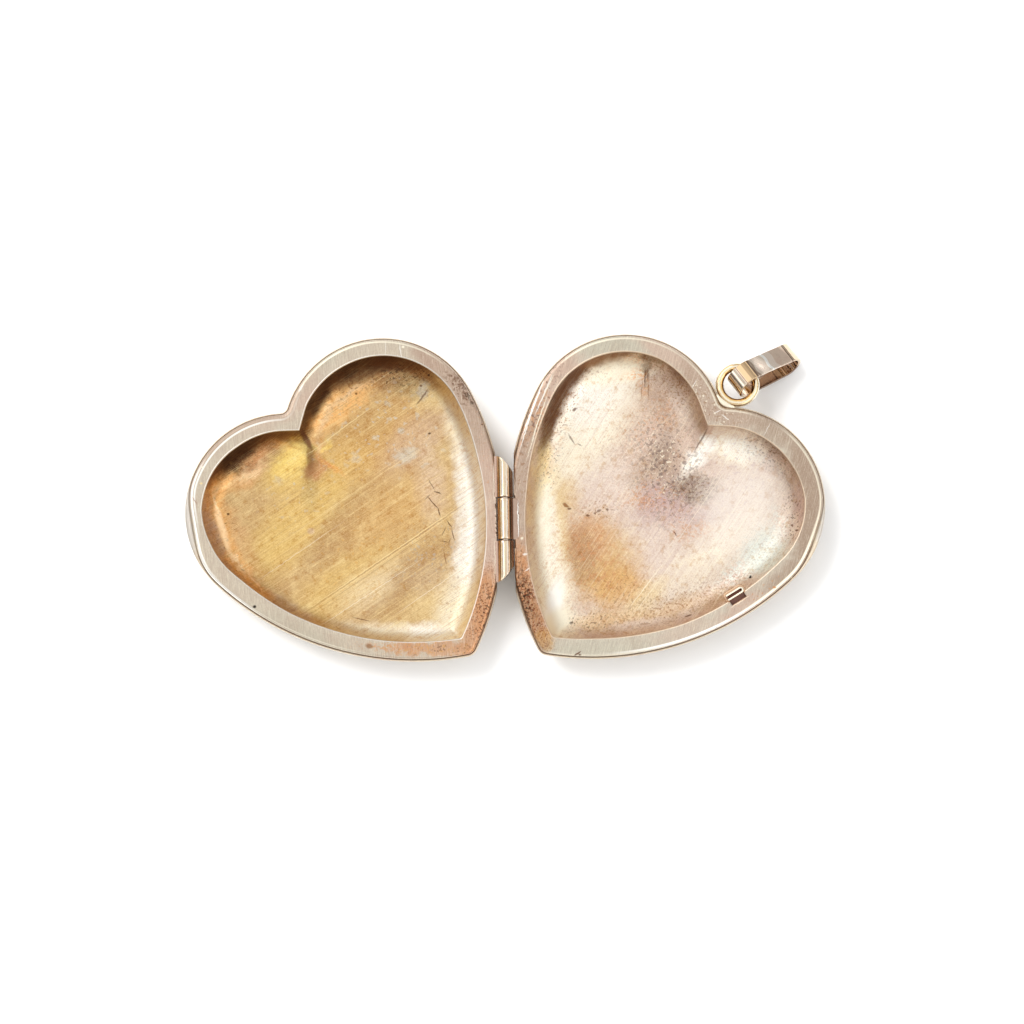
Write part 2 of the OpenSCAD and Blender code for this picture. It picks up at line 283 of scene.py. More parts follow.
def case_rows(half):
    """Rows of a half's section from the middle of its outside to the middle of its inside.

    Each row is (inset for each column, height for each column, least x).
    """
    width = rim_width(half)
    notch = notch_depth(half)
    belly_turn = math.degrees(math.asin((BELLY_R - PLATE_Z) / (BELLY_R - WALL_R)))
    belly_d = WALL_R + (BELLY_R - WALL_R) * heading(belly_turn)[0]
    rows = []
    for turn in np.linspace(90, belly_turn, 6):
        across, up = BELLY_R * heading(turn)
        rows.append((belly_d - across, BELLY_R - up, SHELL_X))
    for turn in np.linspace(belly_turn, 8, 18)[1:]:
        across, up = WALL_R * heading(turn)
        rows.append((WALL_R - across, PLATE_Z - up, SHELL_X))
    for d, z in LIP:
        share = smooth(0.0, 0.15, d)
        rows.append((d + notch * share, PLATE_Z + z + notch * (NOTCH_SLOPE * share - 0.1), SHELL_X))
    side = FRAME_STEP + notch
    rows += [(side + d, PLATE_Z + z + lift * notch, SEAT_X) for d, z, lift in SEAM]
    rows += [(side + d, RIM_Z - drop, SEAT_X) for d, drop in SHOULDER]
    shoulder = side + SHOULDER[-1][0]
    rows += [(shoulder + (width - FLAT_SHORT - shoulder) * share, RIM_Z, SEAT_X) for share in RIM_SHARES]
    rows += [(width + d, RIM_Z + z, SEAT_X) for d, z in INNER_EDGE]
    wall_top, top_d = RIM_Z - DISH_UNDER, width - 0.1
    for turn in np.linspace(0, 90, 17):
        across, up = heading(turn)
        rows.append((top_d + WALL_OUT[half] * (1 - across) ** 0.92,
                     DISH_FOOT + (wall_top - DISH_FOOT) * (1 - up) ** 1.08, SEAT_X + SHEET))
    last = top_d + WALL_OUT[half]
    for share in np.linspace(0, 1, 22)[1:]:
        z = DISH_FOOT - FOOT_RISE * smooth(0, 1, share)
        rows.append((last + (FLOOR_D - last) * share, z, SEAT_X + SHEET))
    return rows


# Places of the rows between the middle and the first row of the section, and how far in the middles count as
OUTER_SHARES, INNER_SHARES = np.linspace(0.12, 0.92, 7), np.linspace(1, 0.05, 18)[1:]
MIDDLE_IN, CAP_IN = 4.0, 9.0


def build_case(name, half, skins):
    """Shell, plate and dish of one half as one closed surface, from the middle of its outside to its inside.

    The skins are the materials of the outside, the rim and the dish.
    """
    rows = case_rows(half)
    count = OUTLINE.count
    least = [row[2] for row in rows]
    rim_row = len(OUTER_SHARES) + least.index(SEAT_X)
    dish_row = len(OUTER_SHARES) + least.index(SEAT_X + SHEET)
    centre = to_part((0.0, MIDDLE_V))
    first = OUTLINE.part(rows[0][0], SHELL_X)
    last_d, last_z, last_x = rows[-1]
    last = OUTLINE.part(last_d, last_x)
    sheets = [(centre + (first - centre) * share, 0.0, rows[0][0]) for share in OUTER_SHARES]
    sheets += [(OUTLINE.part(d, x), z, d) for d, z, x in rows]
    sheets += [(centre + (last - centre) * share, last_z, last_d + (1 - share) * MIDDLE_IN)
               for share in INNER_SHARES]
    layers = np.array([np.column_stack([flat, np.broadcast_to(z, count)]) for flat, z, _ in sheets])
    insets = np.array([np.broadcast_to(d, count) for _, _, d in sheets])
    beyond = insets - rim_width(half)
    dish = layers[dish_row:]
    dish[..., 2] += smooth(0.3, 1.9, beyond[dish_row:]) * relief(half, dish[..., 0], dish[..., 1])
    points = np.vstack([layers.reshape(-1, 3), [(*centre, 0.0), (*centre, layers[-1, :, 2].mean())]])
    end = len(points) - 2
    top = end - count
    faces = grid_faces(len(layers), count)
    faces += [(end, (c + 1) % count, c) for c in range(count)]
    faces += [(end + 1, top + c, top + (c + 1) % count) for c in range(count)]
    if half == "front":
        points[:, 0] *= -1
    else:
        faces = [f[::-1] for f in faces]
    # distance in from the plate's side, which places the painted highlights and shade on the shoulder
    side_distance = insets - FRAME_STEP - notch_depth(half)
    fields = {"side_distance": np.append(side_distance, [CAP_IN, CAP_IN]), "beyond": np.append(beyond, [CAP_IN, CAP_IN])}
    obj = new_mesh(name, points, faces, fields)
    for skin in skins:
        obj.data.materials.append(skin)
    row_of = np.array([min(f) // count if max(f) != end else 0 for f in faces])
    slots = (row_of >= rim_row).astype(np.int32) + (row_of >= dish_row - 3)
    obj.data.polygons.foreach_set("material_index", slots)
    return obj


def apply_modifiers(obj):
    """Replace the object's mesh by its evaluated one."""
    graph = bpy.context.evaluated_depsgraph_get()
    mesh = bpy.data.meshes.new_from_object(obj.evaluated_get(graph))
    obj.modifiers.clear()
    obj.data = mesh
    return obj


def soften(obj, width_mm, segments=3, angle=35):
    """Bevel the sharp edges of a piece and shade it by its flat faces."""
    bevel = obj.modifiers.new("soft edges", "BEVEL")
    bevel.width = width_mm * MM
    bevel.segments = segments
    bevel.limit_method = "ANGLE"
    bevel.angle_limit = math.radians(angle)
    return apply_modifiers(obj)


def extrude_outline(name, outline, low, high, place=lambda x, y, z: (x, y, z)):
    """Prism over a closed outline in the plane, between two heights, moved by place()."""
    count = len(outline)
    points = [place(x, y, z) for z in (low, high) for x, y in outline]
    faces = [(i, (i + 1) % count, count + (i + 1) % count, count + i) for i in range(count)]
    faces += [tuple(range(count - 1, -1, -1)), tuple(range(count, 2 * count))]
    return new_mesh(name, points, faces)


def join(name, pieces, skins):
    """Join pieces into one object; each piece takes the material at its own place in the skins."""
    mesh = bmesh.new()
    for number, piece in enumerate(pieces):
        piece.data.polygons.foreach_set("material_index", [number] * len(piece.data.polygons))
        mesh.from_mesh(piece.data)
    data = bpy.data.meshes.new(name)
    for skin in skins:
        data.materials.append(skin)
    mesh.to_mesh(data)
    mesh.free()
    for piece in pieces:
        bpy.data.objects.remove(piece)
    return show(name, data)


def knuckle(name, number, side, skins):
    """Barrel section with its web and its leaf: number counts from the low end, side is +1 for the back."""
    pitch = HINGE_LEN / 3
    low = HINGE_Y - HINGE_LEN / 2 + number * pitch + KNUCKLE_GAP / 2
    high = low + pitch - KNUCKLE_GAP
    profile = [tuple(p) for p in (0, CLOSE_Z) + KNUCKLE_R * heading(np.arange(-2, 304, 6))]
    profile += [(WEB_ROOT_X, WEB_LOW), (WEB_X, WEB_LOW), (WEB_X, WEB_HIGH), (KNUCKLE_R + 0.02, WEB_HIGH)]
    free = 2 * SEAT_X
    points = []
    stations = np.linspace(0, 1, 13)
    for share in stations:
        for x, z in profile:
            slant = np.clip((SEAT_X - x) / free, 0, 1) ** 1.7 * free
            y_low = low + (slant if number == 0 else 0.0)
            y_high = high - (slant if number == 2 else 0.0)
            points.append((side * x, y_low + (y_high - y_low) * share, z))
    count = len(profile)
    faces = grid_faces(len(stations), count, flip=side > 0)
    end = (len(stations) - 1) * count
    caps = [tuple(range(count)), tuple(range(end + count - 1, end - 1, -1))]
    faces += [c if side > 0 else c[::-1] for c in caps]
    barrel = soften(new_mesh(name + "_barrel", points, faces), 0.05, angle=50)
    leaf_x, corner = HINGE_LEAF[side]
    inner_x = KNUCKLE_R - 0.12
    outline = [(inner_x, low), *arc(leaf_x - corner, low + corner, corner, -90, 0),
               *arc(leaf_x - corner, high - corner, corner, 0, 90), (inner_x, high)]
    outline = [(side * x, y) for x, y in outline][::side]
    leaf = soften(extrude_outline(name + "_leaf", outline, RIM_Z - 0.15, RIM_Z + 0.045), 0.06)
    return join(name, (barrel, leaf), skins)


def at_catch(x, y, z=0.0):
    """From the catch's frame (x outwards across the rim, y along it) to the part's frame."""
    out, along = heading(CATCH_TURN), heading(CATCH_TURN + 90)
    return (*to_part(SIDE_C + (SIDE_R + x) * out + y * along), z)


def build_catch(skins):
    """Folded leaf of the spring catch, and the rounded tab that it stands on."""
    middle = -LEAF_D - FOLD_R
    end = CATCH_LEN / 2
    inner_r = FOLD_R - LEAF_T
    outline = [(middle + FOLD_R, -end), *arc(middle, end - FOLD_R, FOLD_R, 0, 180),
               (middle - FOLD_R, -end), (middle - inner_r, -end),
               *arc(middle, end - FOLD_R, inner_r, 180, 0), (middle + inner_r, -end)]
    leaf = extrude_outline("leaf", outline, PLATE_Z + 0.15, RIM_Z + CATCH_RISE, at_catch)
    leaf = soften(leaf, 0.08, segments=4)
    back, corner, half = LEAF_D + 2 * FOLD_R + 0.25, 0.35, end + 0.15
    near = -LEAF_D - 0.04
    tab = [(near, -half), (near, half), *arc(corner - back, half - corner, corner, 90, 180),
           *arc(corner - back, corner - half, corner, 180, 270)]
    plate = soften(extrude_outline("tab", tab, PLATE_Z, PLATE_Z + 0.3, at_catch), 0.09, segments=4)
    return join("catch_spring", (leaf, plate), skins)


# Pocket in the rim behind the catch's leaf, in the catch's frame: its sides, half length and depth
POCKET_NEAR, POCKET_FAR, POCKET_HALF, POCKET_DEEP = -1.86, -1.36, CATCH_LEN / 2 - 0.12, 0.42


def cut_pocket(case):
    """Slot in the rim behind the catch's leaf."""
    box = [(POCKET_NEAR, -POCKET_HALF), (POCKET_FAR, -POCKET_HALF), (POCKET_FAR, POCKET_HALF),
           (POCKET_NEAR, POCKET_HALF)]
    cutter = extrude_outline("pocket", box, RIM_Z - POCKET_DEEP, RIM_Z + 1, at_catch)
    case.data.materials.append(pocket_material())
    for skin in case.data.materials:
        cutter.data.materials.append(skin)
    sides = len(cutter.data.polygons)
    cutter.data.polygons.foreach_set("material_index", [len(case.data.materials) - 1] * sides)
    cutter.data.polygons.foreach_set("use_smooth", [False] * sides)
    cut = case.modifiers.new("pocket", "BOOLEAN")
    cut.object = cutter
    cut.solver = "MANIFOLD"
    apply_modifiers(case)
    bpy.data.objects.remove(cutter)
    return case


# Half sizes of the solder across the heart, along it and in height, and how its ends turn up along the ring
SOLDER_SIZE, SOLDER_CURL = (1.05, 0.42, 0.3), 0.16


def build_ring(skins):
    """Soldered ring with the solder that fills the corner between it and the cleft."""
    centre = to_part((0.0, RING_V))
    steps, sides = 128, 40
    points = []
    for across, up in WIRE_R * heading(360 * np.arange(sides) / sides):
        flat = centre + (RING_R + across) * heading(360 * np.arange(steps) / steps)
        points.append(np.column_stack([flat, np.full(steps, RING_Z + up)]))
    points = np.stack(points, axis=1).reshape(-1, 3)
    ring = new_mesh("ring_wire", points, grid_faces(steps, sides, closed_rows=True, flip=True))
    rows, columns = 16, 48
    points = []
    for up, out in heading(180 * np.arange(rows + 1) / rows):
        for c, s in heading(360 * np.arange(columns) / columns):
            u, v = SOLDER_SIZE[0] * out * c, SOLDER_SIZE[1] * out * s
            flat = to_part((u, CLEFT_C[1] - CLEFT_R + 0.2 + v + SOLDER_CURL * u * u))
            points.append((*flat, RING_Z - 0.02 + SOLDER_SIZE[2] * up))
    solder = new_mesh("solder", points, grid_faces(rows + 1, columns))
    return join("soldered_ring", (ring, solder), skins)


# Bail's mesh: steps round each bend and along each straight side. Its strip's section: places across for the
# outer and the inner face, with cut corners. The upper side comes last, from a distance along the strip on
BEND_STEPS, STRAIGHT_STEPS, STRIP_EDGE, UPPER_FROM = (56, 44), 25, 0.05, 10.5
STRIP_SECTION = [
    (-1.0, STRIP_EDGE), (-0.98, 0.0), *((s, 0.0) for s in np.linspace(-0.94, 0.94, 11)), (0.98, 0.0),
    (1.0, STRIP_EDGE), (1.0, STRIP_T - STRIP_EDGE), (0.98, STRIP_T),
    *((s, STRIP_T) for s in np.linspace(0.94, -0.94, 7)), (-0.98, STRIP_T), (-1.0, STRIP_T - STRIP_EDGE),
]


def bail_path():
    """Points of the loop's outer face in its own plane, with the direction outwards at each."""
    slope = math.asin((BEND_IN_R - BEND_OUT_R) / (BAIL_BACK + BAIL_AHEAD))
    quarter = math.pi / 2
    bends = [(-BAIL_BACK, BEND_IN_R, np.linspace(quarter - slope, 3 * quarter + slope, BEND_STEPS[0])),
             (BAIL_AHEAD, BEND_OUT_R, np.linspace(slope - quarter, quarter - slope, BEND_STEPS[1]))]
    curves = [[np.array([x + r * math.cos(t), r * math.sin(t), math.cos(t), math.sin(t)]) for t in turns]
              for x, r, turns in bends]
    path = []
    for curve, following in (curves, curves[::-1]):
        path += curve
        side = following[0] - curve[-1]
        path += [curve[-1] + side * share for share in np.linspace(0, 1, STRAIGHT_STEPS + 1)[1:-1]]
    return path


def build_bail():
    """Loop of flat strip with softened edges, a little hollow on its upper side."""
    heads, tips, rolls = (Matrix.Rotation(math.radians(angle), 3, axis)
                          for angle, axis in ((BAIL_TURN, "Z"), (BAIL_PITCH, "Y"), (-BAIL_ROLL, "X")))
    turn = heads @ tips @ rolls
    flat = to_part((0.0, RING_V)) + RING_R * heading(BAIL_TURN) + BAIL_ASIDE * heading(BAIL_TURN + 90)
    middle = Vector((*flat, RING_Z - BAIL_DROP))
    path = bail_path()
    steps = [0.0] + [math.hypot(*(q - p)[:2]) for p, q in zip(path, path[1:])]
    runs = np.cumsum(steps)
    points = []
    sway = []
    for x, z, nx, nz in path:
        hollow = smooth(-0.9, 0.4, x) * (1 - smooth(2.4, 3.8, x))
        for across, depth in STRIP_SECTION:
            inward = depth + hollow * (0.021 * (x - 1.4 + 0.2 * math.sin(2.6 * across)) ** 2 - 0.02)
            points.append(middle + turn @ Vector((x - nx * inward, STRIP_W / 2 * across, z - nz * inward)))
            # sway bends the painted reflection bands into an S across the strip
            sway.append(0.13 * math.sin(3.0 * across) - 0.16 * across)
    last = runs[-1] + (BAIL_BACK + BAIL_AHEAD) / STRAIGHT_STEPS
    runs = np.repeat(np.where(runs > UPPER_FROM, runs - last, runs), len(STRIP_SECTION))
    return new_mesh("bail_strip", points, grid_faces(len(path), len(STRIP_SECTION), closed_rows=True),
                    {"along": runs, "sway": runs + np.array(sway)})


def linear(colour):
    """From the name of a colour to its linear values."""
    values = [c / 255 for c in COLOURS[colour]]
    return tuple(v / 12.92 if v <= 0.04045 else ((v + 0.055) / 1.055) ** 2.4 for v in values)


class Paint:
    """A metal material that is painted step by step in object space, in millimetres."""

    def __init__(self, name, base, roughness):
        self.material = bpy.data.materials.new(name)
        self.material.use_nodes = True
        self.tree = self.material.node_tree
        self.shader = self.tree.nodes["Principled BSDF"]
        self.shader.inputs["Metallic"].default_value = 1.0
        metres = self.add("ShaderNodeTexCoord").outputs["Object"]
        self.mm = self.mapping(metres, scale=(1 / MM, 1 / MM, 1 / MM))
        self.colour = linear(base)
        self.rough = roughness
        self.height = None
        wander = self.away(1.1, 0.7)
        self.warped = self.moved(wander)
        self.ragged = self.moved(self.vector("ADD", wander, self.away(0.3, 0.28)))
        self.shaky = self.moved(self.away(0.4, 0.09))

    def add(self, kind, **settings):
        """New node of a kind, with its settings."""
        node = self.tree.nodes.new(kind)
        for key, value in settings.items():
            setattr(node, key, value)
        return node

    def link(self, source, socket):
        """Join an output to a socket, or set the socket to a number or a tuple."""
        if isinstance(source, (int, float)):
            socket.default_value = source
        elif isinstance(source, tuple):
            socket.default_value = (*source, 1.0) if len(source) == 3 and socket.type == "RGBA" else source
        else:
            self.tree.links.new(source, socket)

    def math(self, operation, *values):
        """Result of a math node on outputs or numbers."""
        node = self.add("ShaderNodeMath", operation=operation)
        for socket, value in zip(node.inputs, values):
            self.link(value, socket)
        return node.outputs[0]

    def both(self, first, second):
        """Mask where two masks overlap."""
        return self.math("MULTIPLY", first, second)

    def vector(self, operation, a, b=None, scale=None):
        """Result of a vector math node."""
        node = self.add("ShaderNodeVectorMath", operation=operation)
        self.link(a, node.inputs[0])
        if b is not None:
            self.link(b, node.inputs[1])
        if scale is not None:
            self.link(scale, node.inputs["Scale"])
        return node.outputs["Vector"]

    def mapping(self, vector, place=(0.0, 0.0, 0.0), turn=0.0, scale=(1.0, 1.0, 1.0), kind="POINT"):
        node = self.add("ShaderNodeMapping", vector_type=kind)
        self.link(vector, node.inputs["Vector"])
        self.link(place, node.inputs["Location"])
        node.inputs["Rotation"].default_value = (0.0, 0.0, math.radians(turn))
        node.inputs["Scale"].default_value = scale
        return node.outputs["Vector"]

    def noise(self, size, detail=3.0, rough=0.55, vector=None, shift=0.0, out="Fac"):
        """Noise with features about size millimetres across, from 0 to 1, with its middle at 0.5."""
        node = self.add("ShaderNodeTexNoise")
        at = vector or self.mm
        if shift:
            at = self.mapping(at, (shift, shift * 0.7, 0.0))
        self.link(at, node.inputs["Vector"])
        node.inputs["Scale"].default_value = 1 / size
        node.inputs["Detail"].default_value = detail
        node.inputs["Roughness"].default_value = rough
        return node.outputs[out]

    def away(self, size, amount):
        """Wandering offset of up to about an amount in millimetres."""
        centred = self.vector("SUBTRACT", self.noise(size, 2.0, out="Color"), (0.5, 0.5, 0.5))
        return self.vector("SCALE", centred, scale=2 * amount)

    def moved(self, offset):
        """Places in millimetres, moved by an offset."""
        return self.mapping(self.mm, offset)

    def step(self, value, low, high):
        """Smooth step of a value from 0 at low to 1 at high; low may be the larger."""
        node = self.add("ShaderNodeMapRange", interpolation_type="SMOOTHSTEP", clamp=False)
        ends = sorted([(low, 0.0), (high, 1.0)])
        names = ("Value", "From Min", "To Min", "From Max", "To Max")
        for name, number in zip(names, (value, *ends[0], *ends[1])):
            self.link(number, node.inputs[name])
        return node.outputs["Result"]

    def band(self, value, low, high, soft):
        """Mask of the values from low to high, which fades over soft on both sides of each."""
        return self.both(self.step(value, low - soft, low + soft), self.step(value, high + soft, high - soft))

    def level(self, low, high):
        """Smooth step of the height in millimetres."""
        split = self.add("ShaderNodeSeparateXYZ")
        self.link(self.mm, split.inputs["Vector"])
        return self.step(split.outputs["Z"], low, high)

    def attribute(self, name):
        """Value of an attribute of the mesh."""
        return self.add("ShaderNodeAttribute", attribute_name=name).outputs["Fac"]

    def ellipse(self, centre, radii, turn=0.0, soft=0.5, vector=None):
        """Mask of an ellipse in plan: 1 inside, fading over the share soft of its radius, in and out."""
        reach = 1 + soft
        scale = (radii[0] * reach, radii[1] * reach, 1e4)
        place = self.mapping(vector or self.warped, (centre[0], centre[1], 0.0), turn, scale, "TEXTURE")
        ball = self.add("ShaderNodeTexGradient", gradient_type="SPHERICAL")
        self.link(place, ball.inputs["Vector"])
        return self.step(ball.outputs["Fac"], 0.0, min(2 * soft / reach, 1.0))

    def blend(self, mask, colour, strength=1.0, mode="MIX"):
        """Lay a colour over the paint where the mask is."""
        node = self.add("ShaderNodeMix", data_type="RGBA", blend_type=mode)
        self.link(self.both(mask, strength) if strength != 1.0 else mask, node.inputs["Factor"])
        self.link(self.colour, node.inputs["A"])
        self.link(linear(colour), node.inputs["B"])
        self.colour = node.outputs["Result"]

    def roughen(self, mask, amount):
        """Add an amount to the roughness where the mask is."""
        self.rough = self.math("MULTIPLY_ADD", mask, amount, self.rough)

    def raise_by(self, mask, amount):
        """Bump height in millimetres."""
        self.height = self.math("MULTIPLY_ADD", mask, amount, self.height or 0.0)

    def stretched(self, turn, length, width, shift=0.0):
        """Noise of streaks that run at an angle in plan, from 0 to 1."""
        place = self.mapping(self.mm, (shift, shift, 0.0), turn, (length, width, length), "TEXTURE")
        return self.noise(1.0, 3.0, 0.6, vector=place)

    def finish(self):
        """Join the paint to the shader and give back the material."""
        self.link(self.colour, self.shader.inputs["Base Color"])
        self.link(self.rough, self.shader.inputs["Roughness"])
        if self.height is not None:
            node = self.add("ShaderNodeBump")
            node.inputs["Strength"].default_value = 1.0
            node.inputs["Distance"].default_value = MM
            self.link(self.height, node.inputs["Height"])
            self.link(node.outputs["Normal"], self.shader.inputs["Normal"])
        return self.material


# Colours of the metal and its tarnish, as display values. The pale ones also serve as painted highlights and
# reflections, the dark ones as painted shade
COLOURS = {
    "cream": (250, 241, 218), "white": (255, 252, 244),
    "pale_gold": (238, 214, 160), "yellow": (235, 200, 112),
    "gold": (214, 174, 112), "honey": (214, 160, 84), "orange": (240, 164, 84), "copper": (206, 146, 100),
    "brown": (150, 104, 66), "umber": (104, 66, 42), "dark": (62, 38, 28), "black": (34, 26, 24),
    "red_brown": (122, 58, 38), "pink_brown": (176, 138, 116), "taupe": (184, 158, 140),
    "maroon": (92, 50, 42),
    "mauve": (196, 168, 166), "grey_brown": (132, 112, 102), "grey": (186, 180, 170),
    "silver": (208, 202, 188),
    "green_white": (224, 230, 222), "green_grey": (176, 178, 158), "olive": (150, 128, 92),
    "pink": (231, 214, 202), "rose": (206, 176, 158), "peach_white": (252, 232, 206),
    "ridge": (252, 216, 168),
    "khaki": (196, 166, 128), "amber": (232, 174, 108), "light_amber": (250, 206, 146),
    "bright_amber": (250, 194, 124), "bright_yellow": (252, 220, 126), "lemon": (252, 228, 150),
    "worn_gold": (190, 152, 104), "wall_pink": (182, 148, 128), "wall_light": (196, 170, 158),
    "warm_taupe": (170, 147, 129), "lip_grey": (200, 194, 187), "pocket": (150, 112, 98),
    "shell": (219, 204, 180),
    "catch_gold": (214, 178, 146), "bail_gold": (236, 220, 198), "hinge_gold": (228, 208, 178),
    "dish_gold": (206, 172, 122), "dish_rose": (219, 200, 189), "front_rim": (204, 191, 172),
    "back_rim": (208, 198, 181),
}
